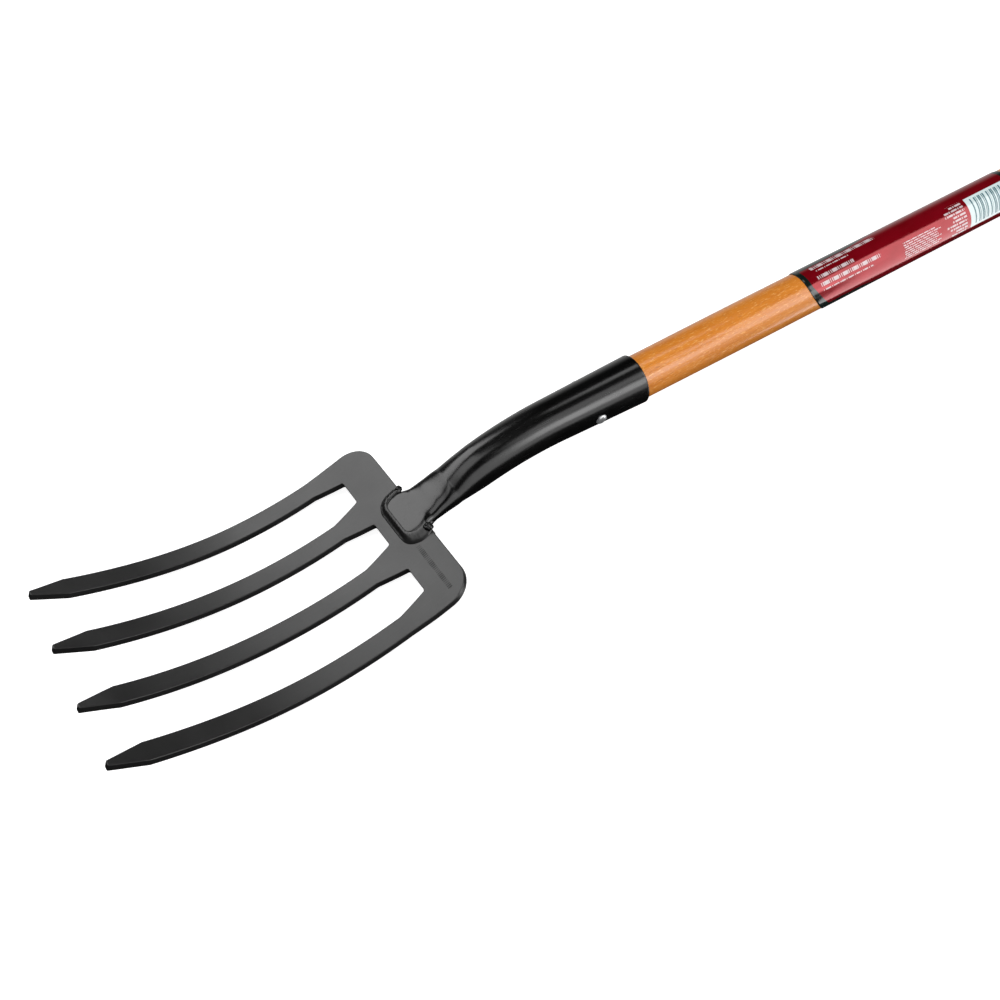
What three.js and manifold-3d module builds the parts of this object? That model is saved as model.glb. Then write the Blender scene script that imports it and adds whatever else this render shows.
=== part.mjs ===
// Four-tine spading fork: a bent plate head, a tubular steel socket pressed flat over the plate and
// welded to it, a wooden shaft with a printed wrap, and a pressed-steel D-grip with a turned bar.
//
// The pieces are drawn in the tool's frame: the origin is the centre of the socket's mouth, +X runs
// along the shaft to the grip, +Y across the head and +Z out of the head's hollow side. The last
// lines lay the tool on the floor, hollow side up, with the origin under the middle of its box.
// Millimetres and radians.

import * as THREE from "three";
import { mergeVertices } from "three/addons/utils/BufferGeometryUtils.js";
import Module from "manifold-3d";

const wasm = await Module();
wasm.setup();

// ---------------------------------------------------------------- driving dimensions
const FIT_GAP = 0.3; // left between pieces that touch

// fork head
const HEAD_HALF_WIDTH = 87;
const HEAD_LENGTH = 272.6; // along the bent top face
const HEAD_THICKNESS = 5.2;
const HEAD_PITCH_DOWN = 0.323; // slope of the flat part of the plate, away from the socket
const HEAD_FLAT = 15.3; // straight run before the bend starts
const HEAD_BEND_RADIUS = 328;
const TREAD_START = 30; // half-width of the part of the plate that the foot and its welds cover
const PLATE_CORNER_RADIUS = 21;
const ROOT_AT = 30.7; // where the gaps start
const ROOT_HALF_WIDTH = 12;
const KINK_AT = 55; // where the gaps reach their full width
const SHOULDER_AT = 247.3; // where the points start
const TINE_HALF_WIDTH = 8.1;
const TIP_HALF_WIDTH = 2.3;
const TINE_SPACING_ROOT = 52.1;
const TINE_SPACING_TIP = 54.9;
const TINE_COUNT = 4;

// socket tube
const SOCKET_MOUTH_RADIUS = 19.85;
const SOCKET_BEND_END_RADIUS = 17.9; // where the quick taper of the mouth ends
const SOCKET_NECK_RADIUS = 16.8; // where the sides start to widen
const SOCKET_RISE = -0.0125; // heading of the straight part
const SOCKET_STRAIGHT = 77;
const SOCKET_BEND_RADIUS = 282;
const SOCKET_HEADING = 0.275; // heading after the bend
const PRESS_START = 150; // where the tube starts to be pressed and to widen
const FOOT_AT = 200; // distance along the tube to the plate's back edge
const FOOT_TURN = 10; // length of the last small bend, just before the plate
const FOOT_LENGTH = 17.5; // how far the flattened end reaches over the plate
const FOOT_HALF_WIDTH = 22.3;
const FOOT_JAW = 3.2; // thickness of the flattened wall on each side of the plate
const FOOT_CORNER_RADIUS = 10;
const FOOT_FLARE = 2; // half-width gained over the first part of the plate
const FLARE_LENGTH = 4;
const FOOT_OFFSET = 2.45; // plate's middle above the tube's middle line
// how far the tube is pressed flat: [distance from the mouth, half-height at the middle]
const PRESSED_HALF_HEIGHTS = [
  [PRESS_START, SOCKET_NECK_RADIUS],
  [160, 14.6],
  [170, 12],
  [180, 9.4],
  [186, 8.1],
  [190, 6.8],
  [194, 5.9],
  [197, HEAD_THICKNESS / 2 + FOOT_JAW],
];
// half-width gained by the sides: [distance from the mouth, gain over the neck's radius]
const WIDENING = [[PRESS_START, 0], [175, 0.5], [187.5, 1], [196, 2]];
const MOUTH_WALL = 1.5;
const FOOT_WALL = 2.9;

// weld beads around the foot
const WELD_WIDTH = 4.5;
const WELD_HEIGHT = 3.2;

// shaft, wrap and rivets
const SHAFT_RADIUS = 18;
const SHAFT_NECK_RADIUS = 17.65; // the shaft narrows a little towards the socket
const SHAFT_NECK_LENGTH = 100;
const TENON_DEPTH = 80;
const TENON_MOUTH_RADIUS = 17.5;
const TENON_END_RADIUS = 14.4;
const TENON_CHAMFER = 1.5;
const WRAP_START = 161.5;
const WRAP_LENGTH = 228;
const WRAP_THICKNESS = 0.35;
const RIVET_RADIUS = 2.5;
const RIVET_HEAD_RADIUS = 4.6;
const RIVET_HEAD_HEIGHT = 1.6;
const SOCKET_RIVET_AT = 44; // back from the socket's mouth
const SOCKET_RIVET_TURN = 0.21; // round the tool's line, which brings its -Y end lower

// D-grip
const YOKE_START = 470;
const YOKE_SLEEVE_LENGTH = 45;
const YOKE_SLEEVE_RADIUS = 19.3;
const YOKE_WALL = 1.7;
const YOKE_RIVET_AT = 488;
const SHAFT_END = 505;
const BAR_AT = 598; // distance from the socket's mouth to the bar's centre line
const EYE_CENTRE = 52; // from the middle of the tool
const EYE_HALF_THICKNESS = 5.5;
const EYE_RADIUS = 17.5;
const EYE_RECESS_RADIUS = 12.4;
const EYE_RECESS_DEPTH = 2.5;
const EYE_CHAMFER = 1; // on the side of the bar
const EYE_ROUNDING = 4; // on the outer side
// an arm's middle line is a curve from the sleeve to the eye: [along the tool, across it]
const ARM_START = [YOKE_START + 28, 8.5];
const ARM_START_PULL = [YOKE_START + 62, 11];
const ARM_END_PULL = [YOKE_START + 70, EYE_CENTRE + 1];
// an arm's section: [share of its length, half-size]
const ARM_HALF_THICKNESS = [[0, 10], [0.45, 7.2], [1, EYE_HALF_THICKNESS]];
const ARM_HALF_HEIGHT = [[0, YOKE_SLEEVE_RADIUS - 1], [0.5, 15.5], [1, 15]];
const ARM_HOLLOW = 0.78; // share of its length
const BAR_RADIUS = 15.4;
const BAR_END_RADIUS = 12;
const BAR_SHOULDER = 1.5; // from the bar's shoulder to the arm
// how much thinner the bar is away from its middle: [distance from the middle, thinning]
const BAR_TAPER = [[0, 0], [18, 0.5], [34, 1.7]];
const ROD_RADIUS = 4;
const ROD_HEAD_RADIUS = 7;
const ROD_HEAD_HEIGHT = 2.6;
const WASHER_RADIUS = 9.5;
const WASHER_THICKNESS = 1.3;

// facets
const ROUND_SIDES = 32;
const BAR_SIDES = 24;
const SMALL_SIDES = 16;
const ARM_RINGS = 11;
const DOME_RINGS = 4;
const OVERSHOOT = 2; // how far a cutter reaches past what it cuts

// ---------------------------------------------------------------- shape helpers

// A closed solid through a list of rings of points. All rings have the same number of points and
// turn the same way; each end is closed by a fan.
function loft(rings) {
  const count = rings[0].length;
  const points = rings.flat();
  const indices = [];
  for (let r = 0; r + 1 < rings.length; r += 1) {
    for (let i = 0; i < count; i += 1) {
      const here = r * count + i;
      const next = r * count + ((i + 1) % count);
      indices.push(here, next, here + count, next, next + count, here + count);
    }
  }
  const last = (rings.length - 1) * count;
  for (let i = 1; i + 1 < count; i += 1) {
    indices.push(0, i + 1, i, last, last + i, last + i + 1);
  }
  const geometry = new THREE.BufferGeometry().setFromPoints(points);
  geometry.setIndex(indices);
  return geometry;
}

// A solid from a three.js geometry. A geometry wound inside out is turned the right way first.
function solid(geometry) {
  const bare = geometry.clone();
  bare.deleteAttribute("normal");
  bare.deleteAttribute("uv");
  const merged = mergeVertices(bare, 1e-4);
  const triVerts = new Uint32Array(merged.index.array);
  if (signedVolume(merged) < 0) {
    for (let i = 0; i < triVerts.length; i += 3) {
      [triVerts[i + 1], triVerts[i + 2]] = [triVerts[i + 2], triVerts[i + 1]];
    }
  }
  const vertProperties = new Float32Array(merged.attributes.position.array);
  return new wasm.Manifold(new wasm.Mesh({ numProp: 3, vertProperties, triVerts }));
}

function signedVolume(geometry) {
  const position = geometry.attributes.position;
  const index = geometry.index;
  const [a, b, c] = [new THREE.Vector3(), new THREE.Vector3(), new THREE.Vector3()];
  let volume = 0;
  for (let i = 0; i < index.count; i += 3) {
    a.fromBufferAttribute(position, index.getX(i));
    b.fromBufferAttribute(position, index.getX(i + 1));
    c.fromBufferAttribute(position, index.getX(i + 2));
    volume += a.dot(b.cross(c)) / 6;
  }
  return volume;
}

function geometryOf(manifold) {
  const { vertProperties, triVerts } = manifold.getMesh();
  const geometry = new THREE.BufferGeometry();
  geometry.setAttribute("position", new THREE.BufferAttribute(new Float32Array(vertProperties), 3));
  geometry.setIndex(new THREE.BufferAttribute(new Uint32Array(triVerts), 1));
  return geometry;
}

// A turned piece from [distance along the axis, radius] pairs that start and end on the axis.
function turned(profile, sides = ROUND_SIDES) {
  const points = profile.map(([along, radius]) => new THREE.Vector2(radius, along));
  return new THREE.LatheGeometry(points, sides);
}

// The same profile on both sides of the middle.
function mirrored(half) {
  return [...half.slice().reverse().map(([along, radius]) => [-along, radius]), ...half];
}

// A domed head on a seat: [distance along the axis, radius] pairs from the seat to the axis.
function dome(seat, radius, height) {
  const angles = steps(0, Math.PI / 2, Math.PI / 2 / DOME_RINGS).slice(0, -1);
  const round = angles.map((angle) => [seat + height * Math.sin(angle), radius * Math.cos(angle)]);
  return [...round, [seat + height, 0]];
}

const alongX = (geometry) => geometry.rotateZ(-Math.PI / 2); // turns a +Y axis to +X
const drill = (radius, length) => new THREE.CylinderGeometry(radius, radius, length, SMALL_SIDES);

// A line in the XZ plane made of straight and round stretches, followed from the grip end towards
// the tips. Heading is the slope below -X. Each stretch is [length, turn per mm].
function bentLine(start, startHeading, stretches) {
  return (distance) => {
    let [x, z] = start;
    let heading = startHeading;
    let left = distance;
    stretches.forEach(([length, turn], i) => {
      const isLast = i === stretches.length - 1;
      const step = isLast ? left : Math.min(left, length);
      const next = heading + turn * step;
      if (Math.abs(turn) < 1e-9) {
        x -= step * Math.cos(heading);
        z -= step * Math.sin(heading);
      } else {
        x -= (Math.sin(next) - Math.sin(heading)) / turn;
        z += (Math.cos(next) - Math.cos(heading)) / turn;
      }
      heading = next;
      left -= step;
    });
    return { x, z, heading };
  };
}

// The point beside a bent line: y across, up along the line's upper normal.
function beside({ x, z, heading }, y, up) {
  return new THREE.Vector3(x - up * Math.sin(heading), y, z + up * Math.cos(heading));
}

// Straight-line interpolation through [at, value] pairs in rising order.
function between(pairs, at) {
  const next = pairs.findIndex(([place]) => place >= at);
  if (next === 0) return pairs[0][1];
  if (next < 0) return pairs[pairs.length - 1][1];
  const [[a, from], [b, to]] = [pairs[next - 1], pairs[next]];
  return from + ((to - from) * (at - a)) / (b - a);
}

// Numbers from a to b, both included, no further apart than step.
function steps(a, b, step) {
  const count = Math.ceil((b - a) / step - 1e-6);
  return Array.from({ length: count + 1 }, (_, i) => a + ((b - a) * i) / count);
}

// ---------------------------------------------------------------- lines that the pieces follow
const bendLength = (SOCKET_HEADING - SOCKET_RISE) * SOCKET_BEND_RADIUS;
const socketLine = bentLine([0, 0], SOCKET_RISE, [
  [SOCKET_STRAIGHT, 0],
  [bendLength, 1 / SOCKET_BEND_RADIUS],
  [FOOT_AT - FOOT_TURN - SOCKET_STRAIGHT - bendLength, 0],
  [FOOT_TURN, (HEAD_PITCH_DOWN - SOCKET_HEADING) / FOOT_TURN],
  [FOOT_LENGTH, 0],
]);

const footStart = beside(socketLine(FOOT_AT), 0, FOOT_OFFSET + HEAD_THICKNESS / 2);
const headLine = bentLine([footStart.x, footStart.z], HEAD_PITCH_DOWN, [
  [HEAD_FLAT, 0],
  [HEAD_LENGTH, -1 / HEAD_BEND_RADIUS],
]);
// s along the head's top face from the back edge, y across it, up above it
const headPoint = (s, y, up) => beside(headLine(s), y, up);

// ---------------------------------------------------------------- fork head
function headBlock(stations, lowY, highY, above, below) {
  return solid(loft(stations.map((s) => [
    headPoint(s, lowY(s), above),
    headPoint(s, highY(s), above),
    headPoint(s, highY(s), -below),
    headPoint(s, lowY(s), -below),
  ])));
}

function tineEdge(position, side, s) {
  const spacing = between([[KINK_AT, TINE_SPACING_ROOT], [HEAD_LENGTH, TINE_SPACING_TIP]], s);
  const half = between([[SHOULDER_AT, TINE_HALF_WIDTH], [HEAD_LENGTH, TIP_HALF_WIDTH]], s);
  return position * spacing + side * half;
}

function forkHead() {
  const clear = 6 * HEAD_THICKNESS; // cutters stand well clear of both faces
  const beyond = HEAD_LENGTH + OVERSHOOT;
  const bend = steps(KINK_AT, SHOULDER_AT, 70);
  const along = [0, HEAD_FLAT, ...steps(HEAD_FLAT, HEAD_LENGTH, 11).slice(1)];
  const strip = (low, high) => headBlock(along, () => low, () => high, 0, HEAD_THICKNESS);
  // three strips side by side, so that the treads beside the foot are faces of their own
  const outside = HEAD_HALF_WIDTH + PLATE_CORNER_RADIUS;
  let head = strip(-outside, -TREAD_START)
    .add(strip(-TREAD_START, TREAD_START))
    .add(strip(TREAD_START, outside));
  const outermost = (TINE_COUNT - 1) / 2;

  for (let gap = 0; gap < TINE_COUNT - 1; gap += 1) {
    const [low, high] = [gap - outermost, gap + 1 - outermost];
    const middle = ((low + high) / 2) * TINE_SPACING_ROOT;
    const edge = (position, side) => (s) => {
      const root = middle - side * ROOT_HALF_WIDTH;
      return s < KINK_AT
        ? between([[ROOT_AT, root], [KINK_AT, tineEdge(position, side, KINK_AT)]], s)
        : tineEdge(position, side, s);
    };
    const stations = [ROOT_AT, (ROOT_AT + KINK_AT) / 2, ...bend, HEAD_LENGTH, beyond];
    head = head.subtract(headBlock(stations, edge(low, 1), edge(high, -1), clear, clear));
  }

  const taperAt = KINK_AT - PLATE_CORNER_RADIUS;
  for (const side of [-1, 1]) {
    const outerEdge = (s) => tineEdge(side * outermost, side, s);
    const shoulder = [[taperAt, side * HEAD_HALF_WIDTH], [KINK_AT, outerEdge(KINK_AT)]];
    const outline = (s) => (s < KINK_AT ? between(shoulder, s) : outerEdge(s));
    const far = () => side * 2 * HEAD_HALF_WIDTH;
    const stations = [-OVERSHOOT, PLATE_CORNER_RADIUS, taperAt, ...bend, HEAD_LENGTH, beyond];
    head = head.subtract(headBlock(stations, outline, far, clear, clear));
    const corner = steps(-OVERSHOOT, PLATE_CORNER_RADIUS, 2);
    head = head.subtract(headBlock(corner, roundCorner(side), far, clear, clear));
  }
  return geometryOf(head);
}

// the plate's outline at a back corner: a quarter circle from the back edge to the side
function roundCorner(side) {
  return (s) => {
    const back = THREE.MathUtils.clamp(PLATE_CORNER_RADIUS - s, 0, PLATE_CORNER_RADIUS);
    const inset = PLATE_CORNER_RADIUS - Math.sqrt(PLATE_CORNER_RADIUS ** 2 - back ** 2);
    return side * (HEAD_HALF_WIDTH - inset);
  };
}

// ---------------------------------------------------------------- socket tube

const socketRadius = (distance) => between([
  [0, SOCKET_MOUTH_RADIUS],
  [SOCKET_STRAIGHT, SOCKET_BEND_END_RADIUS],
  [PRESS_START, SOCKET_NECK_RADIUS],
], distance);

// Half-width of the flattened end over the plate: it flares at the plate's back edge, and its front
// corners are rounded.
function footHalfWidth(s) {
  const flare = Math.min(0, s - FLARE_LENGTH) * (FOOT_FLARE / FLARE_LENGTH);
  const past = Math.max(0, s - (FOOT_LENGTH - FOOT_CORNER_RADIUS));
  const inset = FOOT_CORNER_RADIUS - Math.sqrt(Math.max(0, FOOT_CORNER_RADIUS ** 2 - past ** 2));
  return FOOT_HALF_WIDTH - inset + flare;
}

function socketHalfWidth(distance) {
  if (distance > FOOT_AT) return footHalfWidth(distance - FOOT_AT);
  if (distance < PRESS_START) return socketRadius(distance);
  const sides = WIDENING.map(([at, gain]) => [at, SOCKET_NECK_RADIUS + gain]);
  return between([...sides, [FOOT_AT, FOOT_HALF_WIDTH - FOOT_FLARE]], distance);
}

// The tube's cross-section: an ellipse that is cut off flat above and below where it is pressed.
function socketRing(distance, inset) {
  const centre = socketLine(distance);
  const pressed = THREE.MathUtils.clamp((distance - PRESS_START) / (FOOT_AT - PRESS_START), 0, 1);
  const wide = socketHalfWidth(distance) - inset;
  const tall = THREE.MathUtils.lerp(socketRadius(distance), FOOT_HALF_WIDTH / 2, pressed) - inset;
  const flat = pressed > 0 ? between(PRESSED_HALF_HEIGHTS, distance) - inset : tall;
  return Array.from({ length: ROUND_SIDES }, (_, i) => {
    const angle = (2 * Math.PI * i) / ROUND_SIDES;
    const up = THREE.MathUtils.clamp(tall * Math.sin(angle), -flat, flat);
    return beside(centre, wide * Math.cos(angle), up + FOOT_OFFSET * pressed);
  });
}

function socketTube() {
  const wall = (distance) => (
    THREE.MathUtils.lerp(MOUTH_WALL, FOOT_WALL, Math.min(1, distance / FOOT_AT)));
  const along = [
    0,
    SOCKET_STRAIGHT,
    ...steps(SOCKET_STRAIGHT, PRESS_START, 9).slice(1),
    ...steps(PRESS_START, FOOT_AT, 4).slice(1),
  ];
  const foot = [
    FOOT_AT + FLARE_LENGTH,
    ...steps(FOOT_AT + FOOT_LENGTH - FOOT_CORNER_RADIUS, FOOT_AT + FOOT_LENGTH, 2),
  ];
  const outer = solid(loft([...along, ...foot].map((d) => socketRing(d, 0))));
  const bore = [-OVERSHOOT, ...along.slice(1), FOOT_AT + FLARE_LENGTH];
  const inner = solid(loft(bore.map((d) => socketRing(d, wall(d)))));
  const slot = headBlock(
    [-FIT_GAP, HEAD_FLAT, ROOT_AT],
    () => -HEAD_HALF_WIDTH,
    () => HEAD_HALF_WIDTH,
    FIT_GAP,
    HEAD_THICKNESS + FIT_GAP,
  );
  const hole = solid(socketRivetDrill()).translate(socketRivetPlace());
  return geometryOf(outer.subtract(inner).subtract(slot).subtract(hole));
}

const socketRivetPlace = () => {
  const { x, z } = socketLine(SOCKET_RIVET_AT);
  return [x, 0, z];
};

const rivetDrill = () => drill(RIVET_RADIUS + FIT_GAP, 3 * SHAFT_RADIUS);
const socketRivetDrill = () => rivetDrill().rotateX(SOCKET_RIVET_TURN);

// ---------------------------------------------------------------- welds

// A fillet bead laid around the foot's outline on one face of the plate.
function weldBead(face) {
  const surface = face > 0 ? FIT_GAP : -HEAD_THICKNESS - FIT_GAP;
  const cornerAt = FOOT_LENGTH - FOOT_CORNER_RADIUS;
  const sideY = FOOT_HALF_WIDTH - FOOT_CORNER_RADIUS;
  const route = [];
  for (const side of [1, -1]) {
    const corner = steps(0, Math.PI / 2, Math.PI / 12).map((angle) => ({
      s: cornerAt + FOOT_CORNER_RADIUS * Math.sin(angle),
      y: side * (sideY + FOOT_CORNER_RADIUS * Math.cos(angle)),
      outS: Math.sin(angle),
      outY: side * Math.cos(angle),
    }));
    const back = { s: 0.5, y: side * footHalfWidth(0.5), outS: 0, outY: side };
    const flare = { s: FLARE_LENGTH, y: side * FOOT_HALF_WIDTH, outS: 0, outY: side };
    route.push(...(side > 0 ? [back, flare, ...corner] : [back, flare, ...corner].reverse()));
  }
  const section = [
    [FIT_GAP, 0],
    [FIT_GAP + WELD_WIDTH, 0],
    [FIT_GAP + WELD_WIDTH * 0.75, WELD_HEIGHT * 0.55],
    [FIT_GAP + WELD_WIDTH * 0.3, WELD_HEIGHT],
    [FIT_GAP, WELD_HEIGHT],
  ];
  const rings = route.map(({ s, y, outS, outY }) => section.map(([out, up]) => (
    headPoint(s + out * outS, y + out * outY, surface + face * up))));
  return geometryOf(solid(loft(rings)));
}

// ---------------------------------------------------------------- shaft, wrap, rivets
function handleShaft() {
  const shoulder = FIT_GAP;
  const sleeveTenon = YOKE_SLEEVE_RADIUS - YOKE_WALL - FIT_GAP;
  const body = solid(alongX(turned([
    [-TENON_DEPTH, 0],
    [-TENON_DEPTH, TENON_END_RADIUS - TENON_CHAMFER],
    [-TENON_DEPTH + TENON_CHAMFER, TENON_END_RADIUS],
    [shoulder, TENON_MOUTH_RADIUS],
    [shoulder, SHAFT_NECK_RADIUS],
    [SHAFT_NECK_LENGTH, SHAFT_RADIUS],
    [YOKE_START - FIT_GAP, SHAFT_RADIUS],
    [YOKE_START - FIT_GAP, sleeveTenon],
    [SHAFT_END - TENON_CHAMFER, sleeveTenon],
    [SHAFT_END, sleeveTenon - TENON_CHAMFER],
    [SHAFT_END, 0],
  ])));
  const socketHole = solid(socketRivetDrill()).translate(socketRivetPlace());
  const yokeHole = solid(rivetDrill()).translate([YOKE_RIVET_AT, 0, 0]);
  return geometryOf(body.subtract(socketHole).subtract(yokeHole));
}

function wrapLabel() {
  const inner = SHAFT_RADIUS + FIT_GAP;
  const outer = inner + WRAP_THICKNESS;
  const far = WRAP_LENGTH;
  return alongX(turned([[0, inner], [0, outer], [far, outer], [far, inner], [0, inner]]));
}

// A solid rivet across the tool with a domed head on each side.
function rivet(seatRadius) {
  const seat = seatRadius + FIT_GAP;
  const half = [[seat, RIVET_RADIUS], ...dome(seat, RIVET_HEAD_RADIUS, RIVET_HEAD_HEIGHT)];
  return turned(mirrored(half), SMALL_SIDES);
}

// ---------------------------------------------------------------- D-grip

// One arm of the yoke: from inside the sleeve outwards to the eye that holds the bar.
function yokeArm(side, inset, lastPart) {
  const point = ([x, y]) => new THREE.Vector3(x, side * y, 0);
  const path = new THREE.CubicBezierCurve3(
    point(ARM_START),
    point(ARM_START_PULL),
    point(ARM_END_PULL),
    point([BAR_AT, EYE_CENTRE]),
  );
  const rings = steps(0, lastPart, 1 / ARM_RINGS).map((part) => {
    const centre = path.getPoint(part);
    const tangent = path.getTangent(part);
    const across = new THREE.Vector3(-tangent.y, tangent.x, 0);
    const halfThick = between(ARM_HALF_THICKNESS, part) - inset;
    const halfTall = between(ARM_HALF_HEIGHT, part) - inset;
    return Array.from({ length: SMALL_SIDES }, (_, i) => {
      const angle = (2 * Math.PI * i) / SMALL_SIDES;
      return centre.clone()
        .addScaledVector(across, halfThick * Math.cos(angle))
        .add(new THREE.Vector3(0, 0, halfTall * Math.sin(angle)));
    });
  });
  return solid(loft(rings));
}

// A disc at the end of an arm, with a domed outer rim, a recess for the bar and a hole for the rod.
function yokeEye(side) {
  const half = EYE_HALF_THICKNESS;
  const [inner, outer] = [EYE_CHAMFER, EYE_ROUNDING];
  const disc = turned([
    [-half, 0],
    [-half, EYE_RADIUS - inner],
    [inner - half, EYE_RADIUS],
    [half - outer * 0.75, EYE_RADIUS],
    [half - outer * 0.25, EYE_RADIUS - outer * 0.375],
    [half, EYE_RADIUS - outer],
    [half, 0],
  ]);
  if (side < 0) disc.rotateZ(Math.PI);
  return solid(disc).translate([BAR_AT, side * EYE_CENTRE, 0]);
}

function gripYoke() {
  const sleeve = (radius, start, end) => (
    solid(alongX(turned([[start, 0], [start, radius], [end, radius], [end, 0]]))));
  const sleeveEnd = YOKE_START + YOKE_SLEEVE_LENGTH;
  let outer = sleeve(YOKE_SLEEVE_RADIUS, YOKE_START, sleeveEnd);
  let hollow = sleeve(YOKE_SLEEVE_RADIUS - YOKE_WALL, YOKE_START - OVERSHOOT, SHAFT_END + OVERSHOOT);
  for (const side of [-1, 1]) {
    outer = outer.add(yokeArm(side, 0, 1)).add(yokeEye(side));
    const depth = 2 * EYE_RECESS_DEPTH;
    const recess = solid(
      new THREE.CylinderGeometry(EYE_RECESS_RADIUS, EYE_RECESS_RADIUS, depth, ROUND_SIDES),
    );
    const innerFace = side * (EYE_CENTRE - EYE_HALF_THICKNESS);
    hollow = hollow
      .add(yokeArm(side, YOKE_WALL, ARM_HOLLOW))
      .add(recess.translate([BAR_AT, innerFace, 0]));
  }
  const rodHole = solid(drill(ROD_RADIUS + FIT_GAP, 3 * EYE_CENTRE)).translate([BAR_AT, 0, 0]);
  const rivetHole = solid(rivetDrill()).translate([YOKE_RIVET_AT, 0, 0]);
  return geometryOf(outer.subtract(hollow).subtract(rodHole).subtract(rivetHole));
}

function gripBar() {
  const innerFace = EYE_CENTRE - EYE_HALF_THICKNESS;
  const end = innerFace + EYE_RECESS_DEPTH - FIT_GAP;
  const shoulder = innerFace - BAR_SHOULDER;
  const bore = ROD_RADIUS + FIT_GAP;
  const half = [
    ...BAR_TAPER.map(([along, thinning]) => [along, BAR_RADIUS - thinning]),
    [shoulder - 2 * BAR_SHOULDER, BAR_END_RADIUS + BAR_SHOULDER / 2],
    [shoulder, BAR_END_RADIUS],
    [end, BAR_END_RADIUS],
    [end, bore],
  ];
  return turned([...mirrored(half.slice(1)), [-end, bore]], BAR_SIDES);
}

const washerFace = EYE_CENTRE + EYE_HALF_THICKNESS + FIT_GAP;

function rodWasher() {
  const bore = ROD_RADIUS + FIT_GAP;
  const top = WASHER_THICKNESS;
  const edge = WASHER_RADIUS - FIT_GAP;
  return turned([[0, bore], [0, WASHER_RADIUS], [top, edge], [top, bore], [0, bore]], BAR_SIDES);
}

function gripRod() {
  const seat = washerFace + WASHER_THICKNESS + FIT_GAP;
  const half = [[seat, ROD_RADIUS], ...dome(seat, ROD_HEAD_RADIUS, ROD_HEAD_HEIGHT)];
  return turned(mirrored(half), SMALL_SIDES);
}

// ---------------------------------------------------------------- the assembly
const tool = new THREE.Group();

function add(name, geometry, [color, roughness, metalness], position = [0, 0, 0]) {
  const mesh = new THREE.Mesh(geometry, new THREE.MeshStandardMaterial({ color, roughness, metalness }));
  mesh.name = name;
  mesh.position.set(...position);
  tool.add(mesh);
  return mesh;
}

const headPaint = [0x2b2c2d, 0.55, 0.2];
const socketPaint = [0x161617, 0.3, 0.2];
const varnishedWood = [0xd07f31, 0.4, 0];
const printedWrap = [0x7c0f1e, 0.3, 0];
const brightSteel = [0xc4c6c8, 0.25, 1];

add("fork_head", forkHead(), headPaint);
add("socket_tube", socketTube(), socketPaint);
add("socket_weld_top", weldBead(1), socketPaint);
add("socket_weld_bottom", weldBead(-1), socketPaint);
const socketRivet = rivet(socketRadius(SOCKET_RIVET_AT)).rotateX(SOCKET_RIVET_TURN);
add("socket_rivet", socketRivet, brightSteel, socketRivetPlace());
add("handle_shaft", handleShaft(), varnishedWood);
add("wrap_label", wrapLabel(), printedWrap, [WRAP_START, 0, 0]);
add("grip_yoke", gripYoke(), socketPaint);
add("yoke_rivet", rivet(YOKE_SLEEVE_RADIUS), brightSteel, [YOKE_RIVET_AT, 0, 0]);
add("grip_bar", gripBar(), varnishedWood, [BAR_AT, 0, 0]);
add("grip_rod", gripRod(), brightSteel, [BAR_AT, 0, 0]);
add("rod_washer_left", rodWasher(), brightSteel, [BAR_AT, washerFace, 0]);
add("rod_washer_right", rodWasher(), brightSteel, [BAR_AT, -washerFace, 0]).rotation.z = Math.PI;

// The slope of the line that the tool rests on: it touches the lowest points of head and grip.
function restingSlope() {
  tool.updateMatrixWorld(true);
  const lowest = (name, slope) => {
    const mesh = tool.getObjectByName(name);
    const position = mesh.geometry.attributes.position;
    const point = new THREE.Vector3();
    let best = null;
    for (let i = 0; i < position.count; i += 1) {
      point.fromBufferAttribute(position, i).applyMatrix4(mesh.matrixWorld);
      const height = point.z * Math.cos(slope) - point.x * Math.sin(slope);
      if (best === null || height < best.height) best = { height, x: point.x, z: point.z };
    }
    return best;
  };
  let slope = 0;
  for (let round = 0; round < 6; round += 1) {
    const head = lowest("fork_head", slope);
    const grip = lowest("grip_yoke", slope);
    slope = Math.atan2(grip.z - head.z, grip.x - head.x);
  }
  return slope;
}

tool.rotation.y = restingSlope();
const fork = new THREE.Group();
fork.add(tool);
fork.updateMatrixWorld(true);
const box = new THREE.Box3().setFromObject(fork, true);
tool.position.set(-(box.min.x + box.max.x) / 2, -(box.min.y + box.max.y) / 2, -box.min.z);

export default fork;
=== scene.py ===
"""Detailed surfaces, finishes, light and camera for a four-tine digging fork, around its CAD frame."""
import math
from functools import reduce

import bmesh
import bpy
import numpy as np
from mathutils import Matrix, Quaternion, Vector, noise
from mathutils.geometry import delaunay_2d_cdt


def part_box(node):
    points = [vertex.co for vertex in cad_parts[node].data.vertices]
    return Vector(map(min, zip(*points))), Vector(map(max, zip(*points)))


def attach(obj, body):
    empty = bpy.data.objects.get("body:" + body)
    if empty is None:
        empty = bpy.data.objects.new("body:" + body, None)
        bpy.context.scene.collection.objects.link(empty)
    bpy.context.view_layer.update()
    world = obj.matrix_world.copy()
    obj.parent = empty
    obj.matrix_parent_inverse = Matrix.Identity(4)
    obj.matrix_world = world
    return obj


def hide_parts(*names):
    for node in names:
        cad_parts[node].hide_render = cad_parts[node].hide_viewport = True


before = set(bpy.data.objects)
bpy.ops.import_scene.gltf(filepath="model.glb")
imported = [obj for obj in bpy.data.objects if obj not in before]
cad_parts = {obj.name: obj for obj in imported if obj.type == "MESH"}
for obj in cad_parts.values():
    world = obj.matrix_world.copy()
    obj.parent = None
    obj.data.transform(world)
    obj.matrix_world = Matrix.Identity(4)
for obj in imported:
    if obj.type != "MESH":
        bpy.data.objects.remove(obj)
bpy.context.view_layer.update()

MM = 0.001
TAU = 2 * math.pi
scene = bpy.context.scene


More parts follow.
